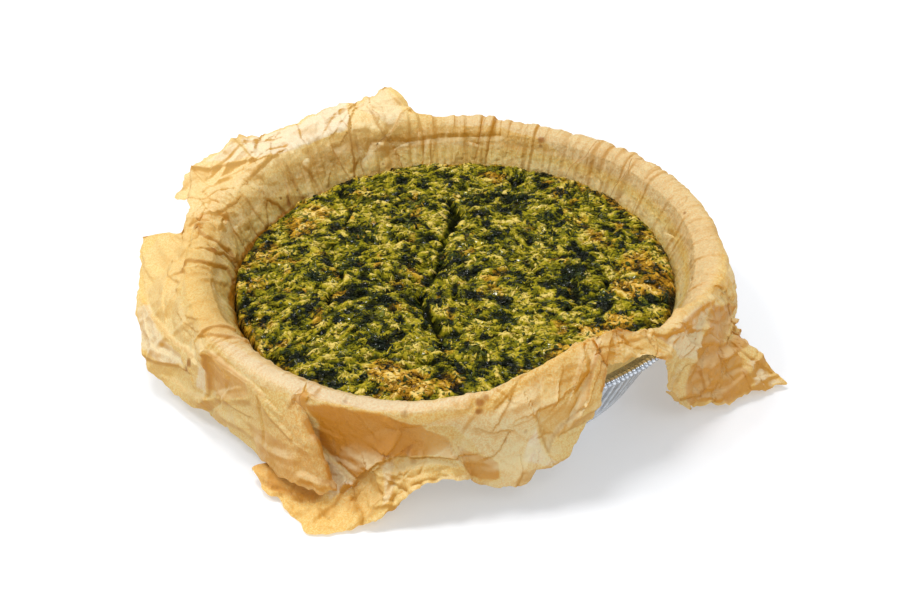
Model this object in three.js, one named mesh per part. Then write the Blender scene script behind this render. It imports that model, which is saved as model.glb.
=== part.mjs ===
// A crustless spinach quiche baked in a round foil tin lined with one sheet of greaseproof paper.
// Millimetres, +Z up. The origin is the centre of the tin's flat base, and +Y is away from the viewer.
import * as THREE from 'three';

// Driving dimensions of the tin, a standard nine-inch foil tin
const TIN_RIM_R = 114.5;
const TIN_HEIGHT = 46;
const TIN_BASE_R = 87;
const TIN_MOUTH_R = 108.5;
const FOIL = 0.8;
const BEAD_R = 1.7;
const BASE_CORNER = 4;
const WALL_TOP = TIN_HEIGHT - 1.2;

// Driving dimensions of the paper liner and of the food
const PAPER = 0.6;
const CLEARANCE = 0.35;
const QUICHE_EDGE_Z = 29;
const QUICHE_SHOULDER = 8;
const QUICHE_DOME = 2.2;
const CRACK_HALF_WIDTH = 4.5;

// How finely the round pieces are divided
const TIN_SEGMENTS = 80;
const BEAD_STEPS = 8;
const LINER_STEP_DEG = 4;
const HANG_STEPS = 10;
const QUICHE_SECTORS = 80;
const QUICHE_RINGS = 22;

const MATERIALS = {
  foil: new THREE.MeshStandardMaterial({ color: 0xc9cdd1, roughness: 0.3, metalness: 1 }),
  paper: new THREE.MeshStandardMaterial({ color: 0xdcae6c, roughness: 0.75, side: THREE.DoubleSide }),
  quiche: new THREE.MeshStandardMaterial({ color: 0x6f7a23, roughness: 0.5 }),
};

// The liner's folds, one row for each crease that runs over the rim, anticlockwise from +X: its angle at
// the rim, then reach and height of the crest and of the knee below it, then angle, reach and height of the hem
const FOLDS = [
  // drawn tight over the rim and tucked behind it
  [0, 117, 47.6, 121.7, 36.7, 0, 122.5, 29],
  [18, 115.5, 48, 119.4, 35.9, 18, 119.5, 27],
  [37, 114.5, 48.8, 118.7, 38.3, 37, 119, 31],
  [60, 114, 47.6, 118.2, 36.2, 60, 118.5, 28],
  [82, 113.5, 50, 118.2, 39.9, 81, 119, 33],
  [93, 113, 51.3, 117.2, 44.8, 94, 118, 42],
  // one corner left standing behind the rim, falling away to the left
  [97, 112, 52, 117.6, 50.8, 99.6, 121, 50],
  [99, 111.5, 53, 119.6, 60, 102.6, 126, 64.2],
  [105, 111, 54, 118.1, 59.3, 107.5, 124, 62.5],
  [112, 110.5, 54, 117.9, 58.4, 112.7, 124, 61],
  [119, 110.5, 54, 117.9, 57.8, 119.5, 124, 60],
  [127, 110.5, 54, 118.6, 56, 127.3, 125, 57.2],
  [135, 110.5, 53.5, 118.9, 56.9, 135.3, 125.5, 59],
  [140, 110.5, 53, 119.9, 58, 141, 128, 61],
  [145, 111, 52, 123.5, 55.4, 146, 131, 57.5],
  [150, 111.5, 51, 126.6, 53.8, 151.9, 134, 55.5],
  [155, 112.5, 50.5, 128.2, 53.3, 155, 136, 55],
  [158, 113, 50, 129, 50.3, 159, 137, 50.5],
  [161, 113.5, 49.8, 121.9, 50.9, 161, 127, 51.5],
  [165, 114, 49.5, 120.9, 48.9, 165.3, 123.5, 48.5],
  [169, 114.5, 49.2, 120.7, 44.5, 169, 122, 43],
  // a flap that reaches out to the left
  [172, 115, 48.6, 131.4, 43.2, 168.5, 143, 41],
  [180, 115.5, 48, 130.7, 38.4, 178, 141, 32],
  [190, 115.5, 47.6, 129.9, 33.2, 189.5, 141.5, 22],
  [197, 115.5, 47.6, 127.9, 28.7, 195, 139.5, 13],
  [205, 115, 47.6, 123.4, 26.7, 200.5, 129, 9],
  [213, 115, 47.6, 120.2, 26.7, 210, 120.5, 9],
  [224, 115, 47.6, 119.4, 26.9, 226, 119, 9.5],
  // its front end, rolled into a cone that ends in a crease
  [229, 115, 47.4, 122.2, 29.1, 234.4, 124.5, 14],
  [231, 115, 47.3, 124.9, 27.8, 237.3, 130, 11.5],
  [233.5, 115, 47.2, 125.4, 26.2, 242.7, 131, 8.5],
  [236, 115, 47, 120.2, 26.9, 243.3, 122.5, 10],
  // behind the crease the other corner, spread over the table at the front left
  [238, 115, 47, 115.6, 20, 233, 121, 5],
  [239.5, 115, 47, 114.5, 9, 228, 127.5, 6],
  [241, 115, 47, 115, 9, 234, 131.5, 3.5],
  [243, 115, 47, 115.5, 10, 239.7, 136, 2.2],
  [245, 115, 47, 115.5, 9.5, 243.6, 140.5, 1.8],
  [247.5, 115, 47, 115, 8.5, 246.4, 142.3, 1.6],
  [250, 114.5, 47, 115, 8, 249.3, 139.5, 1.8],
  [253, 114.5, 47, 115.5, 15, 252.9, 133, 2.5],
  [255.5, 114.2, 47.5, 116, 21.5, 255.2, 131, 4],
  [258, 114, 48, 116, 24.5, 258, 128, 8],
  // the front panel, which turns out in a lip and stands higher and higher over the rim
  [264, 112.5, 50, 115.4, 26.5, 264, 122.5, 18],
  [270, 111, 52, 115.2, 26.5, 270, 119.5, 19],
  [272.5, 110.7, 52.5, 115.6, 17.5, 272.5, 117.5, 15],
  [276, 110.5, 53, 117.5, 29.8, 277, 118.5, 12],
  [283, 109, 57, 116.8, 30.2, 282.5, 119, 13],
  [286, 108.5, 58.5, 116.2, 32.2, 284.5, 116, 17],
  [292, 108, 61, 117.8, 33.2, 291, 117, 19],
  [297, 107.5, 63, 117.8, 40.8, 297, 117, 34],
  // the same panel where it ends above the rim, so that the tin shows
  [301, 107, 65, 112.2, 58.4, 301, 114.5, 54.5],
  [307, 107, 64, 112.2, 56.5, 307.5, 114.5, 52],
  [312, 109, 58.5, 113.9, 53.5, 312, 116, 50.5],
  // the corner that comes down at the right in one crumpled flap
  [315, 110, 56, 116.5, 45.8, 315.5, 116.6, 44],
  [318, 111, 54, 116.5, 37.8, 318.3, 116.4, 28],
  [320.5, 111.5, 54.5, 116.2, 33.8, 320.3, 116, 20],
  [323, 112, 55, 116.5, 29.2, 323.3, 116.5, 11],
  [327.5, 113.5, 55, 119.8, 26.8, 327.7, 121, 6],
  [331.5, 114.5, 54, 123.4, 26.2, 331.3, 127.5, 5],
  [335, 115.5, 52.5, 124, 25.8, 337.2, 135.7, 4],
  [337, 116, 52, 123.4, 25, 338.7, 142, 2.5],
  [339, 116, 51.5, 125.2, 25.2, 341.7, 149.5, 3],
  [341, 116.5, 51, 123.2, 25.8, 344, 141, 4],
  [343.5, 117, 50, 123.8, 28.4, 344.2, 135.8, 10],
  [346, 117.2, 49.3, 123.5, 30.5, 345.5, 131, 15],
  [349, 117.3, 48.8, 122.5, 31.8, 348.5, 127, 18],
  [353, 117.3, 48.2, 122.3, 33.5, 352.5, 124.6, 22],
  [357, 117.2, 47.8, 122.5, 34.8, 356.8, 124, 25],
];

// Pleats pressed into the liner where it is drawn tight: the rim angles of their ridges
const PLEATS = [12, 27, 44, 52, 71, 88, 103, 122, 133, 176, 186, 210, 219];
const PLEAT_HEIGHT = 1.1;
const PLEAT_HALF_WIDTH_DEG = 2;

// Cracks and creases in the top of the quiche: start and end in plan, and depth
const CRACKS = [
  [[2, 60], [-1, 34], 2.2],
  [[-1, 34], [-9, 6], 2.8],
  [[-9, 6], [-15, -22], 3],
  [[-15, -22], [-4, -55], 3],
  [[-50, 62], [-53, -28], 1.6],
  [[-58, -60], [8, -68], 2],
  [[44, -38], [72, -8], 2],
  [[4, 68], [36, 78], 2],
];

// Swellings in the top of the quiche: place in plan, height and radius
const LUMPS = [
  [22, 28, 1.8, 22], [-30, 34, 1.6, 20], [58, 30, 1.5, 20], [-68, 20, 1.3, 18],
  [24, -20, 1.8, 22], [-36, -38, 1.6, 20], [74, -22, 1.5, 15], [-28, -76, 1.6, 15],
  [6, -80, 1.4, 13], [46, -60, 1.5, 16], [-66, -34, 1.3, 18], [16, 74, 1.4, 13],
  [-36, 72, 1.4, 14], [50, 66, 1.3, 14], [-32, -4, 1.4, 15], [52, -4, 1.3, 15],
];

const radians = THREE.MathUtils.degToRad;
const lerp = THREE.MathUtils.lerp;

// The radius of the tin's inner wall at a height above the corner of its base
function tinWallRadius(z) {
  return lerp(TIN_BASE_R, TIN_MOUTH_R - FOIL, (z - BASE_CORNER) / (WALL_TOP - BASE_CORNER));
}

// A profile of [reach, height] pairs turned about the vertical axis
function turned(profile, segments) {
  const points = profile.map(([r, z]) => new THREE.Vector2(r, z));
  return new THREE.LatheGeometry(points, segments).rotateX(Math.PI / 2);
}

// The foil tin: flat base, flared wall and rolled bead
function tinGeometry() {
  const beadZ = TIN_HEIGHT - BEAD_R;
  const beadCentre = TIN_RIM_R - BEAD_R;
  const profile = [[0, 0], [TIN_BASE_R - BASE_CORNER, 0], [TIN_BASE_R - 1, 1]];
  profile.push([TIN_BASE_R + FOIL, BASE_CORNER - 0.4], [TIN_MOUTH_R, WALL_TOP - FOIL]);
  for (let i = 0; i <= BEAD_STEPS; i++) {
    const turn = lerp(-Math.PI * 0.75, Math.PI * 0.75, i / BEAD_STEPS);
    profile.push([beadCentre + BEAD_R * Math.cos(turn), beadZ + BEAD_R * Math.sin(turn)]);
  }
  profile.push([TIN_MOUTH_R - FOIL, WALL_TOP], [TIN_BASE_R, BASE_CORNER]);
  profile.push([TIN_BASE_R - BASE_CORNER, FOIL], [0, FOIL]);
  return turned(profile, TIN_SEGMENTS);
}

// The rim angles at which the liner is cut into strips: every fold and pleat, and steps between
function stripAngles() {
  const marks = [...FOLDS.map((fold) => fold[0]), ...PLEATS].sort((a, b) => a - b);
  const angles = [];
  marks.forEach((from, i) => {
    const to = i + 1 < marks.length ? marks[i + 1] : marks[0] + 360;
    const steps = Math.max(1, Math.round((to - from) / LINER_STEP_DEG));
    for (let k = 0; k < steps; k++) angles.push(lerp(from, to, k / steps));
  });
  return angles;
}

// The fold values at any rim angle, straight between neighbouring folds as in creased paper
function foldAt(angle) {
  let next = FOLDS.findIndex((fold) => fold[0] > angle);
  if (next < 0) next = FOLDS.length;
  const before = FOLDS[next - 1];
  const wraps = next === FOLDS.length;
  const after = wraps ? FOLDS[0].map((v, k) => (k === 0 || k === 5 ? v + 360 : v)) : FOLDS[next];
  const share = (angle - before[0]) / (after[0] - before[0]);
  return before.map((value, k) => lerp(value, after[k], share));
}

// How far a pleat stands out of the liner at a rim angle
function pleatAt(angle) {
  const rise = PLEATS.map((at) => 1 - Math.abs(angle - at) / PLEAT_HALF_WIDTH_DEG);
  return PLEAT_HEIGHT * Math.max(0, ...rise);
}

// One strip's section from the middle of the base to the hem, as points in space
function linerSection(angle) {
  const [, crestR, crestZ, kneeR, kneeZ, hemAngle, hemR, hemZ] = foldAt(angle);
  const inset = PAPER + CLEARANCE;
  const pleat = pleatAt(angle);
  const section = [[45, FOIL + inset], [TIN_BASE_R - BASE_CORNER - 2, FOIL + inset]];
  for (const z of [BASE_CORNER + 1, 16, QUICHE_EDGE_Z - 1]) section.push([tinWallRadius(z) - inset - 0.1, z]);
  section.push([tinWallRadius(37) - inset - pleat, 37]);
  const upright = THREE.MathUtils.smoothstep(hemZ - crestZ, -6, 2);
  const mouth = new THREE.Vector2(TIN_MOUTH_R - 2.2 - pleat, TIN_HEIGHT - 0.6);
  const crest = new THREE.Vector2(crestR, crestZ + pleat);
  const hem = new THREE.Vector2(hemR, hemZ);
  const lip = mouth.clone().lerp(crest, 0.5).add(new THREE.Vector2(-0.6, 1.2 * (1 - upright)));
  const overRim = new THREE.Vector2(Math.max(crestR + 2.8, TIN_RIM_R + 2), Math.min(crestZ - 3.2, TIN_HEIGHT + 1.5));
  const shoulder = overRim.lerp(crest.clone().lerp(hem, 0.25), hemZ > 48 ? 1 : upright);
  const knee = new THREE.Vector2(kneeR, kneeZ);
  const curve = new THREE.SplineCurve([mouth, lip, crest, shoulder, knee, hem]);
  const points = section.map(([r, z]) => [r, z, angle]);
  for (let i = 0; i <= HANG_STEPS; i++) {
    const at = curve.getPoint(i / HANG_STEPS);
    const past = THREE.MathUtils.smoothstep(i / HANG_STEPS, 0.4, 1);
    points.push([at.x, at.y, lerp(angle, hemAngle, past)]);
  }
  return points.map(([r, z, a]) => new THREE.Vector3(r * Math.cos(radians(a)), r * Math.sin(radians(a)), z));
}

// A grid of points, closed round and to a middle point, thickened downwards along its normals
function sheetGeometry(columns, middle, thickness) {
  const rows = columns[0].length;
  const count = columns.length;
  const top = [middle.clone(), ...columns.flat()];
  const at = (column, row) => 1 + (column % count) * rows + row;
  const faces = [];
  for (let c = 0; c < count; c++) {
    faces.push([0, at(c, 0), at(c + 1, 0)]);
    for (let r = 0; r + 1 < rows; r++) {
      faces.push([at(c, r), at(c, r + 1), at(c + 1, r + 1)], [at(c, r), at(c + 1, r + 1), at(c + 1, r)]);
    }
  }
  const surface = new THREE.BufferGeometry().setFromPoints(top);
  surface.setIndex(faces.flat());
  surface.computeVertexNormals();
  const normals = surface.attributes.normal;
  const under = top.map((p, i) => p.clone().addScaledVector(new THREE.Vector3().fromBufferAttribute(normals, i), -thickness));
  const all = [...faces, ...faces.map(([a, b, c]) => [a + top.length, c + top.length, b + top.length])];
  for (let c = 0; c < count; c++) {
    const [a, b] = [at(c, rows - 1), at(c + 1, rows - 1)];
    all.push([a, a + top.length, b + top.length], [a, b + top.length, b]);
  }
  const solid = new THREE.BufferGeometry().setFromPoints([...top, ...under]);
  return solid.setIndex(all.flat());
}

// The liner: one sheet pressed into the tin, over the rim and down outside it
function linerGeometry() {
  const middle = new THREE.Vector3(0, 0, FOIL + PAPER + CLEARANCE);
  return sheetGeometry(stripAngles().map(linerSection), middle, PAPER);
}

// Distance in plan from a point to a straight crack
function distanceToCrack(x, y, [from, to]) {
  const place = new THREE.Vector3(x, y, 0);
  const line = new THREE.Line3(new THREE.Vector3(...from, 0), new THREE.Vector3(...to, 0));
  return line.closestPointToPoint(place, true, new THREE.Vector3()).distanceTo(place);
}

// Height of the quiche's top at a place in plan
function quicheTop(x, y, edgeR) {
  const r = Math.hypot(x, y);
  const inward = Math.max(0, QUICHE_SHOULDER - (edgeR - r)) / QUICHE_SHOULDER;
  const shoulder = Math.sqrt(Math.max(0, 1 - inward * inward));
  let z = QUICHE_EDGE_Z + QUICHE_SHOULDER * 0.8 * shoulder;
  z += QUICHE_DOME * (1 - (r / edgeR) ** 2);
  for (const [cx, cy, height, radius] of LUMPS) {
    z += height * shoulder * Math.exp(-((x - cx) ** 2 + (y - cy) ** 2) / (radius * radius * 0.5));
  }
  for (const crack of CRACKS) {
    z -= crack[2] * shoulder * Math.exp(-((distanceToCrack(x, y, crack) / CRACK_HALF_WIDTH) ** 2));
  }
  return z;
}

// The quiche: a solid cake that fills the liner, with a swollen and cracked top
function quicheGeometry() {
  const inset = PAPER + 2 * CLEARANCE + 0.1;
  const edgeR = tinWallRadius(QUICHE_EDGE_Z) - inset;
  const base = FOIL + inset;
  const shell = [[edgeR, QUICHE_EDGE_Z]];
  for (const z of [18, BASE_CORNER + 2]) shell.push([tinWallRadius(z) - inset, z]);
  shell.push([TIN_BASE_R - BASE_CORNER - 3, base + 0.2]);
  const columns = [];
  for (let s = 0; s < QUICHE_SECTORS; s++) {
    const turn = (2 * Math.PI * s) / QUICHE_SECTORS;
    const column = [];
    for (let k = 1; k < QUICHE_RINGS; k++) {
      const r = edgeR * Math.sin((Math.PI / 2) * (k / QUICHE_RINGS)) ** 0.85;
      const [x, y] = [r * Math.cos(turn), r * Math.sin(turn)];
      column.push(new THREE.Vector3(x, y, quicheTop(x, y, edgeR)));
    }
    for (const [r, z] of shell) column.push(new THREE.Vector3(r * Math.cos(turn), r * Math.sin(turn), z));
    columns.push(column);
  }
  const rows = columns[0].length;
  const crown = new THREE.Vector3(0, 0, quicheTop(0, 0, edgeR));
  const points = [crown, ...columns.flat(), new THREE.Vector3(0, 0, base + 0.2)];
  const at = (column, row) => 1 + (column % QUICHE_SECTORS) * rows + row;
  const last = points.length - 1;
  const faces = [];
  for (let c = 0; c < QUICHE_SECTORS; c++) {
    faces.push([0, at(c, 0), at(c + 1, 0)], [last, at(c + 1, rows - 1), at(c, rows - 1)]);
    for (let r = 0; r + 1 < rows; r++) {
      faces.push([at(c, r), at(c, r + 1), at(c + 1, r + 1)], [at(c, r), at(c + 1, r + 1), at(c + 1, r)]);
    }
  }
  return new THREE.BufferGeometry().setFromPoints(points).setIndex(faces.flat());
}

function named(name, geometry, material) {
  const mesh = new THREE.Mesh(geometry, material);
  mesh.name = name;
  return mesh;
}

const quicheInTin = new THREE.Group();
quicheInTin.add(named('foil_tin', tinGeometry(), MATERIALS.foil));
quicheInTin.add(named('paper_liner', linerGeometry(), MATERIALS.paper));
quicheInTin.add(named('quiche', quicheGeometry(), MATERIALS.quiche));

export default quicheInTin;
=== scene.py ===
# %% [markdown]
# # A spinach quiche in its foil tin
# The finished thing is baked egg and chopped spinach in a round foil tin, with one sheet of baking
# paper pressed in as a liner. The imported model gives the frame: the tin, the sheet and the food as
# plain solids in their true places. This lesson dresses them, so that every fold, leaf and crimp can
# be seen, and nothing moves or grows.

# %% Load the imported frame
import math

import bmesh
import bpy
import numpy as np
from mathutils import Matrix, Vector
from mathutils.bvhtree import BVHTree


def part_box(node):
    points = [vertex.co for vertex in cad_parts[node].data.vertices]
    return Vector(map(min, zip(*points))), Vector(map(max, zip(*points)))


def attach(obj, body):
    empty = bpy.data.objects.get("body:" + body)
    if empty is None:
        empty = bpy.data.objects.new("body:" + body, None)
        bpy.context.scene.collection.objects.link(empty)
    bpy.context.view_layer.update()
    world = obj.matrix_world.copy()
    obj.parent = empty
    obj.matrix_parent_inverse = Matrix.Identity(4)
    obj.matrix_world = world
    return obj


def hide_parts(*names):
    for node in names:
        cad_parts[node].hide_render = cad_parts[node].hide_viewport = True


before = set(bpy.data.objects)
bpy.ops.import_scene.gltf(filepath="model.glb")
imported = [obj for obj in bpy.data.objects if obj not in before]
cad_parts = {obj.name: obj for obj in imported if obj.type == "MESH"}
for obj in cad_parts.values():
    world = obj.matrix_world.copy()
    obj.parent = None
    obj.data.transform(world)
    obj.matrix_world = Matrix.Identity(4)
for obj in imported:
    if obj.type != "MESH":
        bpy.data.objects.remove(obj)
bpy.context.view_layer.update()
MM = 0.001
print("nodes:", sorted(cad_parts))

# %% [markdown]
# ## The camera
# The picture was taken from a little above the table with a short telephoto lens. A camera can be
# turned by hand until it looks right, but here it is worked out from the round tin: its bead, its foot
# and the edge of the food are circles of known size, and only one camera shows all three as the
# picture does. The horizon is tilted by about two degrees, so the camera is rolled by as much.

# %% Place the camera
PICTURE_WIDTH, PICTURE_HEIGHT = 922, 614
FOCAL_PIXELS = 1673.3
AIM_PIXEL = (453.7, 299.3)
SENSOR = 36.0
CAMERA_DISTANCE = 0.750
aim = Vector((0, 0, 20 * MM))
elevation = math.radians(35.12)
roll = math.radians(1.99)
back = Vector((0, -math.cos(elevation), math.sin(elevation)))
level = Vector((1, 0, 0))
upright = back.cross(level)
across = level * math.cos(roll) - upright * math.sin(roll)
upward = level * math.sin(roll) + upright * math.cos(roll)

lens = bpy.data.cameras.new("camera")
lens.sensor_width = SENSOR
lens.lens = FOCAL_PIXELS / PICTURE_WIDTH * SENSOR
lens.shift_x = (PICTURE_WIDTH / 2 - AIM_PIXEL[0]) / PICTURE_WIDTH
lens.shift_y = (AIM_PIXEL[1] - PICTURE_HEIGHT / 2) / PICTURE_WIDTH
camera = bpy.data.objects.new("camera", lens)
camera.matrix_world = Matrix((across, upward, back)).transposed().to_4x4()
camera.location = aim + back * CAMERA_DISTANCE
bpy.context.scene.collection.objects.link(camera)
bpy.context.scene.camera = camera
print("lens %.1f mm, shift %.4f %.4f" % (lens.lens, lens.shift_x, lens.shift_y))

# %% [markdown]
# ## Shader expressions
# A material is a graph of nodes, and sums are easier to read as sums. The small class below wraps a
# socket, so that `mask * 0.5 + 0.1` adds the Math nodes by itself, and `node` adds any other node from
# its type, its settings and what goes into its sockets.

# %% A wrapper for sockets
class Socket:
    """An output socket of a material's graph, on which further nodes are built."""

    def __init__(self, tree, output):
        self.tree = tree
        self.output = output

    def node(self, kind, inputs=(), out=0, **settings):
        made = self.tree.nodes.new(kind)
        for name, value in settings.items():
            if name == "stops":
                fill_ramp(made.color_ramp, value)
            else:
                setattr(made, name, value)
        for key, value in dict(inputs).items():
            if isinstance(value, Socket):
                self.tree.links.new(value.output, made.inputs[key])
            else:
                made.inputs[key].default_value = value
        return Socket(self.tree, made.outputs[out])

    def maths(self, operation, a, b=0.0, clamp=False):
        return self.node("ShaderNodeMath", {0: a, 1: b}, operation=operation, use_clamp=clamp)

    def __add__(self, other):
        return self.maths("ADD", self, other)

    def __sub__(self, other):
        return self.maths("SUBTRACT", self, other)

    def __rsub__(self, other):
        return self.maths("SUBTRACT", other, self)

    def __mul__(self, other):
        return self.maths("MULTIPLY", self, other)

    __radd__ = __add__

    def clamped(self):
        return self.maths("ADD", self, 0.0, clamp=True)

    def between(self, low, high):
        return self.node("ShaderNodeMapRange", {0: self, 1: low, 2: high}, interpolation_type="SMOOTHSTEP")

    def blend(self, first, second):
        return self.node("ShaderNodeMix", {0: self, 6: first, 7: second}, out=2, data_type="RGBA")


def fill_ramp(ramp, stops):
    """Give a colour ramp its stops, each a place and a colour."""
    while len(ramp.elements) < len(stops):
        ramp.elements.new(0.5)
    for element, (place, colour) in zip(ramp.elements, stops):
        element.position = place
        element.color = (*colour, 1)


def start_material(name):
    """A new material, its principled shader and a socket to build on."""
    material = bpy.data.materials.new(name)
    material.use_nodes = True
    tree = material.node_tree
    shader = tree.nodes["Principled BSDF"]
    place = tree.nodes.new("ShaderNodeTexCoord")
    return material, tree, shader, Socket(tree, place.outputs["Object"])


def noise(place, scale, detail=3.0, rough=0.55, distortion=0.0):
    sockets = {"Vector": place, "Scale": scale, "Detail": detail}
    sockets.update({"Roughness": rough, "Distortion": distortion})
    return place.node("ShaderNodeTexNoise", sockets)


def painted(place, name):
    """The numbers painted on the mesh under a name."""
    return place.node("ShaderNodeAttribute", out=2, attribute_name=name)


def bump(height, strength, distance):
    return height.node("ShaderNodeBump", {"Height": height, "Strength": strength, "Distance": distance})


def feed(tree, shader, **sockets):
    """Fill the shader's inputs by name, with a socket or a plain value."""
    for name, value in sockets.items():
        socket = shader.inputs[name.replace("_", " ")]
        if isinstance(value, Socket):
            tree.links.new(value.output, socket)
        else:
            socket.default_value = value


# %% [markdown]
# ## Repeatable roughness
# Creased paper and baked food are rough at every size, yet the script has to give the same result
# each time. So the roughness comes from numbers that are scrambled from whole coordinates. Read
# smoothly between them and the result is soft lumps. Read along straight planes and it is flat facets
# that meet in sharp creases, which is what crumpled paper looks like.

# %% Lumps and facets
def scramble(cell, seed):
    """A repeatable number from -1 to 1 for each whole-number cell."""
    mixed = cell[..., 0] * 73856093 ^ cell[..., 1] * 19349663 ^ cell[..., 2] * 83492791 ^ seed * 2654435
    mixed = (mixed ^ (mixed >> 13)) * 1274126177 & 0x7FFFFFFF
    mixed = (mixed ^ (mixed >> 15)) * 668265263 & 0x7FFFFFFF
    return mixed / 0x3FFFFFFF - 1.0


def turned(points, seed):
    """The points in a frame turned by a seeded angle, so that no grid shows."""
    spin = np.array(Matrix.Rotation(1.0 + 0.7 * seed, 3, Vector((0.3, 0.5 + 0.1 * seed, 0.8))))
    return points @ spin.T


def lumps(points, size, seed):
    """Smooth noise from -1 to 1, with lumps about size across."""
    scaled = turned(points, seed) / size
    cell = np.floor(scaled).astype(np.int64)
    part = scaled - cell
    part = part * part * (3 - 2 * part)
    total = np.zeros(len(points))
    for corner in np.ndindex(2, 2, 2):
        share = np.prod(np.where(np.array(corner) == 1, part, 1 - part), axis=1)
        total += share * scramble(cell + np.array(corner), seed)
    return total


def facets(points, size, seed):
    """Noise made of flat facets about size across, which meet in straight creases."""
    scaled = turned(points, seed) / size
    cell = np.floor(scaled).astype(np.int64)
    part = scaled - cell
    order = np.argsort(-part, axis=1)
    falling = np.take_along_axis(part, order, axis=1)
    total = scramble(cell, seed) * (1 - falling[:, 0])
    corner = cell.copy()
    for step in range(3):
        corner[np.arange(len(points)), order[:, step]] += 1
        share = falling[:, step] - (falling[:, step + 1] if step < 2 else 0)
        total += share * scramble(corner, seed)
    return total


def bent(points, size, amount, seed):
    """The points pushed about by smooth noise, so that straight patterns wander."""
    push = np.stack([lumps(points, size, seed + k) for k in range(3)], axis=1)
    return points + push * amount


def ramp(values, low, high):
    """A soft step: 0 at low and before it, 1 at high and past it. High may be the smaller one."""
    share = np.clip((values - low) / (high - low), 0, 1)
    return share * share * (3 - 2 * share)


def from_chain(x, y, chain):
    """Distance in plan from places to the nearest part of a chain of points."""
    nearest = np.full(len(x), 1e9)
    for (ax, ay), (bx, by) in zip(chain[:-1], chain[1:]):
        dx, dy = bx - ax, by - ay
        share = np.clip(((x - ax) * dx + (y - ay) * dy) / max(dx * dx + dy * dy, 1e-9), 0, 1)
        nearest = np.minimum(nearest, np.hypot(x - ax - share * dx, y - ay - share * dy))
    return nearest


def mesh_points(mesh):
    flat = np.empty(len(mesh.vertices) * 3, np.float32)
    mesh.vertices.foreach_get("co", flat)
    return flat.reshape(-1, 3).astype(float)


def put_points(mesh, points):
    mesh.vertices.foreach_set("co", points.astype(np.float32).ravel())
    mesh.update()


def finished(work, name):
    """A bmesh as a mesh, and the bmesh let go."""
    mesh = bpy.data.meshes.new(name)
    work.to_mesh(mesh)
    work.free()
    return mesh


def smooth(mesh):
    for face in mesh.polygons:
        face.use_smooth = True


def paint(mesh, name, values):
    layer = mesh.attributes.new(name, "FLOAT", "POINT")
    layer.data.foreach_set("value", np.asarray(values, np.float32))


def show(name, mesh, material, node=None):
    """Put a finished mesh in the scene: on the one body, in place of its node."""
    piece = bpy.data.objects.new(name, mesh)
    bpy.context.scene.collection.objects.link(piece)
    mesh.materials.clear()
    mesh.materials.append(material)
    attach(piece, "root")
    if node:
        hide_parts(node)
    triangles = sum(len(p.vertices) - 2 for p in mesh.polygons)
    print("%s: %d triangles" % (name, triangles))
    return piece


# %% [markdown]
# ## The paper sheet
# Greaseproof paper is one flat sheet that has been pressed, folded and crumpled. It could be simulated
# as cloth, but cloth bends softly and paper doesn't. So it is modelled as a paper folder would note
# it down: a table of folds that run from the food over the rim to the hem. Between neighbouring folds
# the sheet runs straight, and each fold has a crest on the rim, a knee where it turns and an end.

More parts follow.
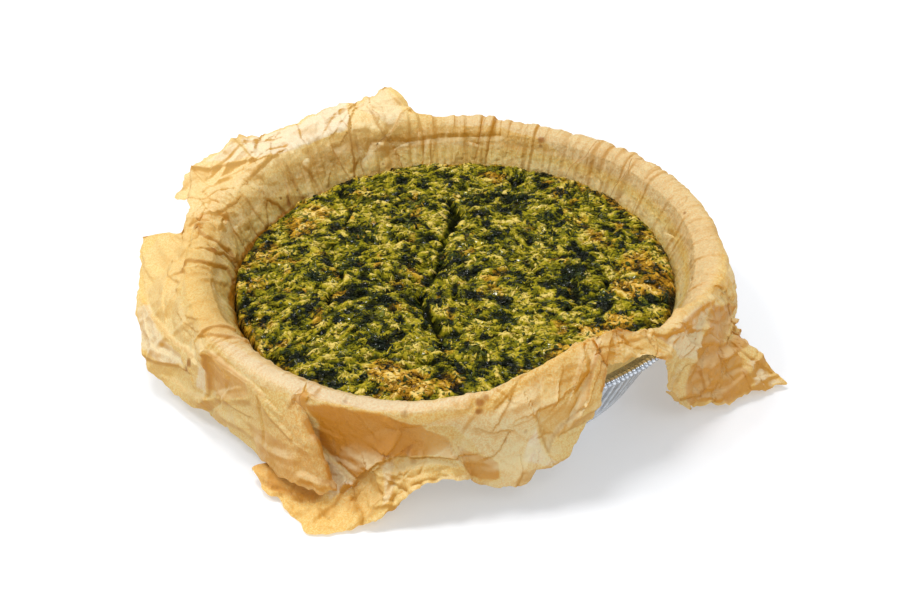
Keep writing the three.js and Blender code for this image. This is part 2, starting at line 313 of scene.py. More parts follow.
# %% The table of folds
# Millimetres and degrees: rim angle, crest reach and height, knee reach and height, then the
# angle, reach and height of the hem. Angles are anticlockwise from the right, seen from above.
FOLDS = np.array([
    (0, 117, 47.6, 121.7, 36.7, 0, 122.5, 29), (18, 115.5, 48, 119.4, 35.9, 18, 119.5, 27),
    (37, 114.5, 48.8, 118.7, 38.3, 37, 119, 31), (60, 114, 47.6, 118.2, 36.2, 60, 118.5, 28),
    (82, 113.5, 50, 118.2, 39.9, 81, 119, 33), (93, 113, 51.3, 117.2, 45.2, 97, 119, 45),
    (97, 112, 52, 117.6, 52.5, 99.4, 122.5, 56.5), (99, 111.5, 53, 119.6, 60, 102.6, 126, 64.2),
    (105, 111, 54, 118.1, 59.3, 107.5, 124, 62.5), (112, 110.5, 54, 117.9, 58.4, 112.7, 124, 61),
    (119, 110.5, 54, 117.9, 57.8, 119.5, 124, 60), (127, 110.5, 54, 118.6, 56, 127.3, 125, 57.2),
    (135, 110.5, 53.5, 118.9, 56.9, 135.3, 125.5, 59), (140, 110.5, 53, 119.9, 58, 141, 128, 61),
    (145, 111, 52, 123.5, 55.4, 146, 131, 57.5), (150, 111.5, 51, 126.6, 53.8, 151.9, 134, 55.5),
    (155, 112.5, 50.5, 128.2, 53.3, 155, 136, 55), (158, 113, 50, 129, 50.3, 159, 137, 50.5),
    (161, 113.5, 49.8, 121.9, 50.9, 161, 127, 51.5), (165, 114, 49.5, 120.9, 48.9, 165.3, 123.5, 48.5),
    (169, 114.5, 49.2, 120.7, 44.5, 169, 122, 43), (172, 115, 48.6, 131.4, 43.2, 168.5, 143, 41),
    (180, 115.5, 48, 130.7, 38.4, 178, 139.6, 32), (190, 115.5, 47.6, 129.9, 33.2, 189.5, 138.2, 22),
    (197, 115.5, 47.6, 127.9, 28.7, 195, 138.4, 13), (205, 115, 47.6, 123.4, 26.7, 200.5, 129, 9),
    (213, 115, 47.6, 120.2, 26.7, 210, 120.5, 9), (224, 115, 47.6, 120.6, 26.9, 226, 119.5, 7.5),
    (229, 115, 47.4, 122.4, 28.6, 233.8, 124.5, 8.5), (231, 115, 47.3, 123.8, 27.8, 239.6, 129.5, 11.5),
    (233.5, 115, 47.2, 125.4, 26.2, 245, 130, 9), (236, 115, 47, 120.2, 26.9, 245.4, 121.5, 9),
    (238, 115, 47, 115.6, 20, 233, 121, 5), (239.5, 115, 47, 114.5, 9, 228, 127.5, 6),
    (241, 115, 47, 115, 9, 234, 131.5, 3.5), (243, 115, 47, 115.5, 10, 239.7, 136, 2.2),
    (245, 115, 47, 115.5, 9.5, 243.6, 140.5, 1.8), (247.5, 115, 47, 115, 8.5, 246.4, 142.3, 1.6),
    (250, 114.5, 47, 115, 8, 249.3, 139.5, 1.8), (253, 114.5, 47, 115.5, 15, 252.9, 133, 2.5),
    (255.5, 114.2, 47.5, 116, 21.5, 255.2, 131, 4), (258, 114, 48, 116, 24.5, 258, 128, 8),
    (264, 112.5, 50, 115.4, 26.5, 264, 122.5, 18), (270, 111, 52, 115.2, 26.5, 270, 119.5, 19),
    (272.5, 110.7, 52.5, 115.6, 17.5, 272.5, 117.5, 15), (276, 110.5, 53, 117.5, 29.8, 277, 118.5, 12),
    (283, 109, 57, 116.8, 30.2, 282.5, 119, 13), (286, 108.5, 58.5, 116.2, 32.2, 284.5, 116, 17),
    (292, 108, 61, 117.8, 33.2, 291, 117, 19), (297, 107.5, 63, 117.8, 40.8, 297, 117, 34),
    (301, 107, 65, 112.2, 58.4, 301, 114.5, 54.5), (307, 107, 64, 112.2, 56.5, 307.5, 114.5, 52),
    (312, 109, 58.5, 113.9, 53.5, 312, 116, 50.5), (315, 110, 56, 116.5, 45.8, 315.5, 116.6, 44),
    (318, 111, 54, 116.5, 37.8, 318.3, 116.4, 28), (320.5, 111.5, 54.5, 116.2, 33.8, 320.3, 116, 20),
    (323, 112, 55, 116.5, 29.2, 323.3, 116.5, 11), (327.5, 113.5, 55, 119.8, 26.8, 327.7, 121, 6),
    (331.5, 114.5, 54, 123.4, 26.2, 331.3, 127.5, 5), (335, 115.5, 52.5, 124, 25.8, 337.2, 135.7, 4),
    (337, 116, 52, 123.4, 25, 338.7, 142, 2.5), (339, 116, 51.5, 125.2, 25.2, 341.7, 149.5, 3),
    (341, 116.5, 51, 122.6, 25.8, 343.6, 138.6, 4), (343.5, 117, 50, 122.8, 28.4, 343.6, 132.5, 10),
    (346, 117.2, 49.3, 122.3, 30.5, 345.2, 127.5, 15), (349, 117.3, 48.8, 121.6, 31.8, 348.5, 124.2, 18),
    (353, 117.3, 48.2, 122.3, 33.5, 352.5, 124.6, 22), (357, 117.2, 47.8, 122.5, 34.8, 356.8, 124, 25),
])
LAST_FOLD = FOLDS[0] + np.array([360, 0, 0, 0, 0, 360, 0, 0])
print("folds:", len(FOLDS))

# %% [markdown]
# One strip of the sheet has a section in reach and height: up the wall, over the bead in a smooth
# curve through mouth, lip, crest, shoulder and knee, and down to the hem. All strips are cut at equal
# steps along their length, so that the mesh is about as fine everywhere, and how far each point lies
# along its strip is kept: with the rim angle it gives every point an address on the unrolled sheet.

# %% Sections and the grid of the sheet
COLUMNS, ROWS = 1480, 123
SEAMS = (98.0, 315.0)  # rim angles of the two folds where the meshes meet
RIM_COLUMNS = 1.48  # how much closer the columns of the second mesh stand, to share the faces out
HIDDEN_ROWS = ((0.0, 1.85), (40.0, 1.85), (84.0, 1.9), (86.6, 5.0), (92.2, 16.0))
WALL_HEIGHTS = (26.0, 31.0, 36.0, 41.0)
TIN_FOOT, TIN_FOOT_HEIGHT = 87.0, 4.0
TIN_FLARE, TIN_RISE = 20.7, 40.8
WALL_GAP = 1.05
MOUTH = (106.3, 45.4)
LIP_INWARD, LIP_RISE = 0.6, 1.2
SHOULDER_OUT, SHOULDER_REACH = 2.8, 116.5
SHOULDER_DROP, SHOULDER_HEIGHT = 3.2, 47.5
STANDING = 48.0  # a hem above this height stands up
CURVE_POINTS = 61
CREST_POINT = 20


def wall_reach(height):
    """Reach of the paper on the tin's wall at a height."""
    return TIN_FOOT + TIN_FLARE * (height - TIN_FOOT_HEIGHT) / TIN_RISE - WALL_GAP


def through(points, share):
    """A smooth curve through points, given as an array of points by strips by two."""
    place = share * (len(points) - 1)
    index = min(int(place), len(points) - 2)
    t = place - index
    before, after = points[max(index - 1, 0)], points[min(index + 2, len(points) - 1)]
    a, b = points[index], points[index + 1]
    leave, arrive = (b - before) / 2, (after - a) / 2
    cubic = (2 * a - 2 * b + leave + arrive) * t ** 3
    return cubic + (3 * b - 3 * a - 2 * leave - arrive) * t ** 2 + leave * t + a


def strip_points(angles):
    """Points along each strip, from the wall to the hem, as strips by points by three."""
    table = np.vstack([FOLDS, LAST_FOLD])
    crest_r, crest_z, knee_r, knee_z, hem_angle, hem_r, hem_z = [
        np.interp(angles, table[:, 0], table[:, k]) for k in range(1, 8)]
    upright = ramp(hem_z - crest_z, -6, 2)
    mouth = np.tile(MOUTH, (len(angles), 1))
    crest = np.stack([crest_r, crest_z], axis=1)
    hem = np.stack([hem_r, hem_z], axis=1)
    knee = np.stack([knee_r, knee_z], axis=1)
    lifted = np.stack([np.full(len(angles), -LIP_INWARD), LIP_RISE * (1 - upright)], axis=1)
    lip = (mouth + crest) / 2 + lifted
    over = np.stack([np.maximum(crest_r + SHOULDER_OUT, SHOULDER_REACH),
                     np.minimum(crest_z - SHOULDER_DROP, SHOULDER_HEIGHT)], axis=1)
    lean = np.where(hem_z > STANDING, 1.0, upright)[:, None]
    shoulder = over * (1 - lean) + (crest * 0.75 + hem * 0.25) * lean
    curve = np.stack([mouth, lip, crest, shoulder, knee, hem])
    rows = [np.stack([np.full(len(angles), wall_reach(z)), np.full(len(angles), z), angles], axis=1)
            for z in WALL_HEIGHTS]
    for share in np.linspace(0, 1, CURVE_POINTS):
        turning = angles + (hem_angle - angles) * ramp(np.array(share), 0.4, 1)
        rows.append(np.column_stack([through(curve, share), turning]))
    strips = np.stack(rows, axis=1)
    turn = np.radians(strips[..., 2])
    return np.stack([strips[..., 0] * np.cos(turn), strips[..., 0] * np.sin(turn), strips[..., 1]], axis=2)


def column_angles(count):
    """Rim angles of the columns, closer together where the hem fans out."""
    fine = np.linspace(0, 360, 3601)
    strips = strip_points(fine)
    wide = np.linalg.norm(np.diff(strips, axis=0), axis=2)
    weight = np.maximum(wide[:, CREST_POINT], 0.5 * wide[:, CREST_POINT] + 0.5 * wide[:, -1])
    weight *= np.where((fine[1:] > SEAMS[0]) & (fine[1:] < SEAMS[1]), 1.0, RIM_COLUMNS)
    along = np.concatenate([[0], np.cumsum(weight)])
    return np.interp(np.linspace(0, along[-1], count + 1), along, fine)


def equal_steps(strips, count):
    """The strips cut again at equal steps along each, and the distance of each step."""
    pieces = np.linalg.norm(np.diff(strips, axis=1), axis=2)
    along = np.concatenate([np.zeros((len(strips), 1)), np.cumsum(pieces, axis=1)], axis=1)
    wanted = np.linspace(0, 1, count)[None, :] * along[:, -1:]
    cut = np.empty((len(strips), count, 3))
    for strip in range(len(strips)):
        for k in range(3):
            cut[strip, :, k] = np.interp(wanted[strip], along[strip], strips[strip, :, k])
    return cut, wanted


rim_angles = column_angles(COLUMNS)[:-1]
sheet, along_strip = equal_steps(strip_points(rim_angles), ROWS)
strip_length = along_strip[:, -1]
print("strips are %.0f to %.0f mm long" % (strip_length.min(), strip_length.max()))

# %% [markdown]
# The sheet's own directions are needed again and again, so they come from one function. It compares
# each point with its neighbours round the tin and along the strip, and the cross product of the two
# differences is the way the paper faces.

# %% Which way the paper faces
def facing(grid):
    """Unit normals of a grid of points that is closed round, out of the visible side."""
    around = np.roll(grid, -1, axis=0) - np.roll(grid, 1, axis=0)
    down = np.gradient(grid, axis=1)
    normal = np.cross(down, around)
    return normal / np.maximum(np.linalg.norm(normal, axis=2, keepdims=True), 1e-9)


def raised(grid, relief):
    """The grid moved out along its own normals."""
    return grid + facing(grid) * relief[..., None]


def at_address(angle, distance):
    """The place in space of an address: rim angle and distance along the strip."""
    column = np.interp(angle % 360, np.append(rim_angles, 360), np.arange(COLUMNS + 1))
    low = int(column) % COLUMNS
    high = (low + 1) % COLUMNS
    row = distance / max(strip_length[low], 1e-6) * (ROWS - 1)
    row = min(max(row, 0), ROWS - 1.001)
    step, part = int(row), row - int(row)
    share = column - int(column)
    ends = [sheet[c, step] * (1 - part) + sheet[c, step + 1] * part for c in (low, high)]
    return ends[0] * (1 - share) + ends[1] * share


print("the rim's top faces up: %.2f" % facing(sheet)[:, ROWS * 2 // 5, 2].mean())

# %% [markdown]
# ## Creasing
# Four things happen to the paper. Folds that can be seen one by one in the picture are listed by
# address, with their rise, their width and the side on which the paper overlaps. Many smaller ones are
# drawn at random between them. The loose parts are crumpled into facets of several sizes, and the wall,
# drawn tight, gets upright wrinkles, with a few facets at the back left. The hem, torn off a roll and
# handled, is ragged.

# %% The folds that can be picked out
# Each is a chain of addresses, then rise and half width in millimetres, the side that lies over the
# other (1 left, -1 right, 0 neither, going along the chain) and how dark the fold's line is.
CREASES = [
    # right rim
    ([(49.5, 29), (50.3, 20.5), (54.3, 11.8), (55.8, 5.6)], 1.1, 4, 1, 1),
    ([(35.3, 29.8), (38.1, 27.2), (37.1, 21.9), (39, 12.2), (39.4, 5.2)], 1.2, 4.5, 1, 1),
    ([(17.4, 30.4), (14.5, 24.2), (15.9, 16.6), (16.1, 10.9)], 0.5, 2.5, 1, 0.5),
    ([(48.4, 10), (48.6, 4.3)], 0.4, 1.5, 0, 0.3), ([(353.6, 24.4), (353, 17)], 0.4, 2, 0, 0.2),
    ([(3.5, 28), (0.2, 21.6)], 0.3, 2, 0, 0.2),
    # back rim
    ([(69, 27.2), (70.3, 14.8), (71.4, 5.1)], 0.7, 2.5, 1, 0.5),
    ([(80, 28.5), (81.2, 17.9), (82, 5.1)], 0.9, 2.5, 1, 0.6),
    ([(78.2, 28.2), (79.8, 15.1), (79.8, 5.7)], 0.5, 2, -1, 0.4),
    ([(94.9, 18.4), (95.9, 12.6), (96.8, 6.8)], 0.5, 1.5, 0, 0.3),
    ([(90.3, 20.4), (91.2, 13), (91.7, 6.2)], 0.4, 1.5, 0, 0.2),
    # standing corner
    ([(101.2, 31.6), (104.4, 25), (107.8, 20.6)], 1.2, 3, 1, 0.8),
    ([(111.7, 43), (110.2, 38.4), (108.1, 36.2)], 1, 3, -1, 0.7),
    ([(108.1, 36.2), (108.2, 30.7), (107.1, 25.8)], 1.3, 4, 1, 0.8),
    ([(117, 30), (114.8, 35.5), (112.8, 39.1)], 1.2, 3.5, 1, 0.5),
    ([(116.7, 29.9), (116.6, 25.3), (117.1, 16.4), (118.1, 7.9)], 1.4, 4, -1, 1),
    ([(115.1, 29.6), (111.6, 29), (107.4, 25.4)], 0.9, 3, 0, 0.3),
    ([(110.5, 21.6), (112.8, 15.5), (115.4, 11.6)], -0.9, 2.5, 0, 0.5),
    ([(119.6, 42.4), (120.3, 36.2), (120.6, 30.4)], 1, 3, 1, 0.3),
    ([(126.4, 43.8), (128.9, 33.7), (128.9, 27.5)], 0.8, 3.5, -1, 0.3),
    ([(123.7, 13), (126, 8.2)], 0.6, 2, 0, 0.5),
    ([(135.1, 31.3), (134.1, 26.1), (133.5, 19.5)], -0.8, 3, 0, 0.3),
    # corner folded over
    ([(151.6, 52.2), (153.7, 50.4), (160.4, 43.4), (169.9, 40)], 1.4, 4, 1, 0.5),
    ([(151.6, 52.2), (150.1, 50.3), (149, 45.5), (146.3, 40.2), (143.2, 35.8)], 1.5, 4.5, 1, 0.5),
    ([(140.9, 49.4), (141.5, 43.7), (142.8, 35.9)], 1.5, 4, -1, 0.6),
    ([(140.9, 49.4), (145, 48.3), (148.7, 45.8)], 1, 3.5, 1, 0.3),
    ([(148.3, 28.8), (143.5, 30.6), (139.9, 31.4), (137.2, 31.6)], 1.1, 3, 1, 0.5),
    ([(147.9, 21.5), (148.8, 15.5), (151.4, 6.7)], 1.2, 3, -1, 0.9),
    ([(147.7, 20.8), (145.1, 14.1), (142.4, 7.9), (141.4, 3.9)], 0.9, 2.5, 1, 0.6),
    ([(165.1, 32.6), (161.5, 26.9), (156.2, 25.4)], 1.1, 3, 1, 0.5),
    ([(165.4, 38.9), (164.7, 34.6), (165.8, 30)], 0.7, 2, 0, 0.4),
    ([(166.5, 24), (160.4, 24.8), (158.3, 20.6), (158.1, 13.7)], 0.9, 2.5, 0, 0.3),
    # deep fold
    ([(174.5, 32.5), (173.2, 30.2), (170.9, 29.1)], -0.6, 2, 0, 0.9),
    ([(170.9, 29.1), (172.7, 26.3), (171.8, 19.5), (169.6, 13.3), (170.3, 10.2)], 1.5, 3.5, 1, 1),
    ([(177, 24.5), (176.7, 21.5), (172.2, 16.2), (171, 10.4)], 1.3, 2.5, 1, 1),
    # left rim
    ([(182.7, 37.2), (181.8, 31.5), (182.9, 27.8), (182.7, 23.2), (175.8, 11.4), (176.7, 6)],
     1.4, 3.5, 1, 1),
    ([(189.5, 37.1), (186.1, 35.5), (182.9, 34.7)], 1, 2.5, -1, 0.8),
    ([(190.9, 29.7), (189.2, 24.2), (181.3, 9.2)], 0.5, 2, 0, 0.2),
    ([(209.8, 33.3), (209.4, 29.5), (210.1, 21.5)], 1.3, 3, 1, 0.9),
    ([(211.3, 31.4), (213.1, 28.5), (215.2, 24.2), (215.8, 22.3)], 1.3, 3, 1, 0.9),
    # left flap
    ([(185.8, 57.8), (192.5, 53.5), (201.7, 51.1), (208.7, 48.1)], 1.8, 6, -1, 0.6),
    ([(207, 41.3), (210.5, 40.1), (212.4, 42.7)], 1.2, 3, 1, 0.8),
    ([(209.1, 37.8), (212.3, 38.4), (213.8, 37.3)], 1, 3, 1, 0.5),
    ([(177, 57.9), (181.2, 49.9), (186.5, 44.2)], 0.8, 4, 0, 0.2),
    ([(172.8, 52.8), (178.9, 42.8), (187.3, 36.8)], 0.7, 3, 0, 0.2),
    ([(193.4, 69.4), (200, 63.9), (207.3, 57)], 1.2, 4, 1, 0.3),
    ([(202.9, 69.5), (208.3, 67.7), (214.1, 60.9)], 1, 3, -1, 0.4),
    # doubled facet
    ([(213.8, 37.3), (214.4, 45.9), (214.5, 57.8)], 1.5, 3, -1, 0.8),
    ([(213.9, 35.9), (220.9, 37.4), (225.4, 37.9), (228.5, 40.9)], 1.6, 5, -1, 0.5),
    ([(212, 66.6), (218, 53.4), (224.5, 45.3)], 0.9, 3, 0, 0.4),
    # cone
    ([(237.9, 25.8), (239.8, 32.5), (241.4, 38.7)], 1.2, 2.5, 1, 0.9),
    ([(238.6, 36), (237.6, 48.1), (237.0, 56), (237.2, 66)], 0.9, 1.6, 0, 0.0),
    ([(235.1, 56.4), (234.9, 62.4), (235.1, 70.3), (244, 79.1)], 1.2, 4, 0, 1),
    ([(240.1, 92), (240.7, 89.4), (241.7, 86.8), (243.1, 86.2)], 1.5, 3, 1, 0.7),
    ([(240.3, 87), (231.7, 71.5), (234.2, 75.3)], 1.3, 3, 0, 0.6),
    ([(225.9, 63), (227.9, 65.2), (231.3, 63.7)], 0.9, 3, 0, 0.2),
    ([(217.4, 64.7), (222.2, 61.7), (225.6, 66)], 0.8, 4, 0, 0.1),
    # front hollow
    ([(244.4, 65.1), (247.1, 69.7), (249.6, 72.1)], 2, 4, -1, 0.5),
    ([(249.6, 72.1), (251.5, 64.8), (254.5, 56.8), (257.7, 52)], 2.4, 5, 1, 0.6),
    ([(257.7, 52), (262.4, 54.9), (266.3, 55.4), (269.2, 57.3)], 2.2, 5, 1, 0.6),
    ([(269.2, 57.3), (270.7, 65.1), (271.9, 70.8)], 1.6, 4, -1, 0.5),
    # turned-out hem
    ([(252.8, 61.1), (254.8, 65.1), (255.7, 69.8)], 1.3, 3, 1, 0.6),
    ([(247.7, 77.2), (248.6, 74.4), (249.6, 72.1)], 1, 2, 0, 0.8),
    ([(256.4, 54.8), (257.3, 61.9), (257.8, 71.9)], 1.3, 3, -1, 0.3),
    ([(258.2, 60.9), (263.4, 59.9), (268.5, 64.2)], 0.8, 3, 0, 0.3),
    ([(246.7, 89.5), (247.3, 84.8), (247.8, 78.5)], 1.1, 3, 1, 0.4),
    ([(256.9, 70.4), (255.3, 76.5), (254.1, 84.1)], 1.4, 3, 1, 0.6),
    ([(243.6, 93), (245, 88.3), (247.7, 88.8)], 0.9, 3, 0, 0.2),
    ([(249.8, 80.6), (252.1, 82.7), (253, 86.3)], 0.9, 3, -1, 0.4),
    # front right
    ([(284.7, 50.2), (286.2, 59.3), (288, 72.2)], 1.8, 5, -1, 0.6),
    ([(294.7, 57.8), (293.5, 62.8), (290.5, 65.7), (288.7, 72.6)], 1.6, 4, 1, 0.5),
    ([(284.7, 50.2), (287.8, 50.8), (290.6, 51.3)], 1.2, 4, 1, 0.5),
    ([(281.9, 69.2), (282.8, 73.9), (283.3, 77.4)], 1, 3, 0, 0.4),
    ([(281.8, 70.6), (281.5, 75.7), (280.7, 78.4)], 1, 3, -1, 0.4),
    ([(278.8, 42.2), (282, 43.2), (285, 44.9)], 0.8, 3, 0, 0.3),
    ([(277, 45.3), (278.4, 41.7), (279.7, 39.3)], 0.9, 3, 1, 0.4),
    ([(268.6, 30.4), (269.5, 35.4)], 0.7, 2, 0, 0.4),
    # awning
    ([(300.6, 44.7), (297.2, 50.8), (295.2, 57.6)], 1.8, 4, 1, 0.7),
    ([(306, 40.5), (302.9, 45.1), (300.2, 54.5)], 1.5, 3.5, -1, 0.5),
    ([(297.3, 42.8), (294.8, 47.3), (293.4, 50.6)], 1.2, 4, 1, 0.4),
    ([(312.9, 36.5), (314.1, 40.9), (315.8, 43)], 1.1, 3, -1, 0.4),
    # right flap
    ([(334.8, 36.7), (333.5, 44.1), (330.5, 46.4)], 1.2, 3, 0, 0.9),
    ([(330.5, 46.4), (327, 52), (325.3, 57.4)], 1.2, 3, 0, 0.8),
    ([(325.3, 57.4), (323.7, 63.5), (323.5, 73.9)], 1.2, 3, 0, 0.6),
    ([(317.8, 34.4), (324.4, 35.7), (330.5, 36.3), (334.9, 36.3)], 1.2, 3, 0, 0.3),
    ([(322.7, 39.3), (323.9, 46.7), (327, 52.5)], 1.5, 3, -1, 0.5),
    ([(323.1, 38.1), (326.5, 44), (330.1, 46.9)], 1.2, 3, 1, 0.5),
    ([(335.7, 41.7), (349.5, 54.5)], 1, 2, 0, 0.6),
    ([(348.8, 54.7), (341, 58.6), (337.8, 60.8)], 1.6, 3, -1, 0.6),
    ([(327.4, 63), (331.3, 64.2), (334.6, 64.8)], 1.4, 3.5, 0, 0.5),
    ([(326.8, 64.3), (328, 70.6), (327.4, 76.4)], 1.2, 3, 1, 0.4),
    ([(336.4, 70.9), (336.3, 76.6), (336.9, 84.9)], 1.5, 3, -1, 0.5),
    ([(338, 69.3), (338.2, 76.5), (338.5, 82.9)], 1.2, 3, 1, 0.5),
    ([(333.5, 56.5), (333.6, 63), (331.1, 66.1)], -1.2, 3, 0, 0.6),
    ([(337.8, 84.3), (337.5, 88.2), (337.5, 92.1)], 0.9, 2, 0, 0.4),
    # under the rim at the back
    ([(76, 20.5), (90, 19), (100, 18.5), (109, 21)], -0.7, 2.2, 0, 0.0),
]
print("single folds:", len(CREASES))

# %% [markdown]
# The smaller creases are drawn at random, but from a fixed seed, so they are the same each time. There
# are four kinds: short ones across the rim, pleats down the gathered wall, dense ones where the flaps
# were crumpled, and long bent ones anywhere on the loose paper.

# %% Small creases drawn at random
MM_PER_DEGREE = 2.2
PLEATED = (97.0, 170.0)  # the arc of the wall that is gathered into pleats
CRUMPLED = (  # arc of rim angles, stretch of the strip, number of creases
    (318, 348, 38, 84, 70), (238, 268, 60, 92, 44), (286, 318, 38, 66, 14))
LOOSE_CREASES = 180


def drawn_crease(draw, chain, rises, halves, darks, signs=(1,)):
    """A crease along a chain: its rise, half width, lap and darkness lie between the given limits."""
    rise = draw.uniform(*rises) * (draw.choice(signs) if len(signs) > 1 else 1)
    return chain, rise, draw.uniform(*halves), int(draw.integers(-1, 2)), draw.uniform(*darks)


def small_creases():
    """Creases across the rim, pleats in the wall, and creases at all angles in the loose parts."""
    draw = np.random.default_rng(77)
    made = []
    angle = 0.0
    while angle < 360:
        angle += draw.uniform(1.6, 5.2)
        lean = draw.normal(0, 1.1)
        low, high = draw.uniform(9, 15), draw.uniform(24, 34)
        middle = (angle + lean * 0.4, (low + high) / 2 + draw.normal(0, 2))
        chain = [(angle, low), middle, (angle + lean, high)]
        made.append(drawn_crease(draw, chain, (0.2, 0.5), (1.0, 1.8), (0.0, 0.25)))
    angle = PLEATED[0]
    while angle < PLEATED[1]:
        angle += draw.uniform(2.2, 4.6)
        lean, top = draw.normal(0, 2.0), draw.uniform(20, 30)
        chain = [(angle, 0.5), (angle + lean * 0.3, 9), (angle + lean, top)]
        made.append(drawn_crease(draw, chain, (0.6, 1.2), (1.6, 3.0), (0.3, 0.8), [1, 1, -1]))
    for first, last, near, far, count in CRUMPLED:
        for _ in range(count):
            angle, start = draw.uniform(first, last), draw.uniform(near, far)
            heading, reach = draw.uniform(0, 2 * math.pi), draw.uniform(3.5, 9)
            end = (angle + reach * 0.5 * math.cos(heading), start + reach * math.sin(heading))
            chain = [(angle, start), end]
            made.append(drawn_crease(draw, chain, (0.6, 1.2), (0.9, 2.0), (0.0, 0.35), [1, -1]))
    for _ in range(LOOSE_CREASES):
        angle = draw.uniform(98, 356)
        room = np.interp(angle, rim_angles, strip_length)
        place = draw.uniform(33, max(room - 2, 34))
        turn, reach = draw.uniform(0, math.pi), draw.uniform(5, 15)
        step = (math.cos(turn) * reach / MM_PER_DEGREE, math.sin(turn) * reach)
        kink = draw.normal(0, 0.12, 2) * reach
        chain = [(angle - step[0], place - step[1]), (angle + kink[0] / MM_PER_DEGREE, place + kink[1]),
                 (angle + step[0], place + step[1])]
        chain = [(a % 360, min(max(d, 30), room)) for a, d in chain]
        made.append(drawn_crease(draw, chain, (0.3, 0.8), (1.0, 2.4), (0.0, 0.15), [1, 1, -1]))
    return made


SMALL_CREASES = small_creases()
print("small creases:", len(SMALL_CREASES))

# %% [markdown]
# A fold lifts the paper in one of two ways. A plain ridge is a little roof, with a pale line along its
# top, which is a painted highlight. Where the paper laps over itself, one side stands up and falls away
# slowly, and the other drops at once, with a dark line of painted shade under the edge.

# %% How a fold lifts the paper
LINE_WIDTH, EDGE_WIDTH = 0.45, 0.4


def fold_path(chain):
    """A chain of addresses as places in space, close together."""
    places = []
    for (angle, distance), (next_angle, next_distance) in zip(chain[:-1], chain[1:]):
        for share in np.linspace(0, 1, 5)[:-1]:
            places.append(at_address(angle + (next_angle - angle) * share,
                                     distance + (next_distance - distance) * share))
    places.append(at_address(*chain[-1]))
    return np.array(places)


def beside(path, points, normals):
    """Distance of points from a path, and on which side of it they lie."""
    nearest = np.full(len(points), 1e9)
    side = np.ones(len(points))
    for start, end in zip(path[:-1], path[1:]):
        along = end - start
        share = np.clip((points - start) @ along / max(along @ along, 1e-9), 0, 1)
        away = points - start - share[:, None] * along
        distance = np.linalg.norm(away, axis=1)
        closer = distance < nearest
        left = np.sign(np.einsum("ij,ij->i", np.cross(along, away), normals))
        side = np.where(closer, left, side)
        nearest = np.minimum(nearest, distance)
    return nearest, side


def single_folds(grid):
    """Relief of the listed folds, and their lines: positive is dark (painted shade), negative is bright (a
    painted highlight).
    """
    points, normals = grid.reshape(-1, 3), facing(grid).reshape(-1, 3)
    wander = bent(points, 8, 0.4, 201)
    relief, line = np.zeros(len(points)), np.zeros(len(points))
    for chain, rise, half, lap, dark in CREASES + SMALL_CREASES:
        path = fold_path(chain)
        low, high = path.min(0) - 3 * half - 2, path.max(0) + 3 * half + 2
        close = np.flatnonzero(((points > low) & (points < high)).all(axis=1))
        if len(close) == 0:
            continue
        distance, side = beside(path, wander[close], normals[close])
        if lap == 0:
            lift = np.clip(1 - distance / half, 0, 1)
        else:
            over = np.clip(1 - distance / (2.4 * half), 0, 1)
            lift = np.where(side * lap > 0, over, np.exp(-(distance / (0.3 + 0.4 * rise)) ** 2))
        relief[close] += rise * lift
        # The foot is painted shade under a lapped edge or in a valley, the edge a painted highlight.
        foot = np.exp(-((distance - (0.5 if lap else 0)) / LINE_WIDTH) ** 2) * (side * lap <= 0)
        edge = np.exp(-((distance - 0.3) / EDGE_WIDTH) ** 2) * (side * lap > 0)
        if lap == 0 and rise > 0:
            foot, edge = 0 * foot, np.exp(-(distance / EDGE_WIDTH) ** 2)
        line[close] = np.maximum(line[close], dark * foot)
        line[close] = np.where(line[close] > 0.1, line[close], np.minimum(line[close], -edge * 0.5 * dark))
    shape = grid.shape[:2]
    return relief.reshape(shape), line.reshape(shape)


# %% [markdown]
# Looseness runs from nothing on the wall to one where the paper hangs free. The tucked back edge is
# pulled tight, so it stays smoother than the flaps, and so does the doubled paper at the front left.
# Where on the sheet something happens is said by an arc of rim angles and a stretch along the strips,
# each with soft ends.

# %% Crumple the sheet
angle_grid = np.repeat(rim_angles[:, None], ROWS, axis=1)


def arc(start, full, fading, end):
    """A share for every point of the sheet: 1 inside an arc of rim angles, 0 past its ends."""
    return ramp(angle_grid, start, full) * ramp(angle_grid, end, fading)


def stretch(start, full, fading, end):
    """The same for a stretch along the strips, in millimetres."""
    return ramp(along_strip, start, full) * ramp(along_strip, end, fading)


loose = ramp(along_strip, 27, 38)
loose *= 1 - 0.7 * arc(2, 8, 88, 94)
loose *= 1 - 0.85 * arc(214, 222, 262, 270) * ramp(along_strip, 62, 54)
RIM_RADIUS, RIM_ARC = 110, 1.95  # the second is the length round the rim of one degree
PLEAT_RISE, PLEAT_HALF = 0.35, 1.6
PLEATS = [3.5, 7, 11.5, 15, 21, 27.5, 32, 43, 61.5, 64.5, 75, 92, 95.5, 107, 109, 117, 122, 126, 139, 142.5,
          146, 176, 179.5, 184.5, 192, 198, 203.5, 217, 221, 226, 262, 268, 281, 288, 320, 328, 344, 353]


def flat_facets(grid, sizes, seed):
    """Facets of given sizes and heights, over the places of the smooth sheet."""
    points = sheet.reshape(-1, 3)
    total = np.zeros(len(points))
    for k, (size, height) in enumerate(sizes):
        total += facets(bent(points, size * 1.2, size * 0.22, seed + 7 * k), size, seed + k) * height
    return total.reshape(grid.shape[:2])


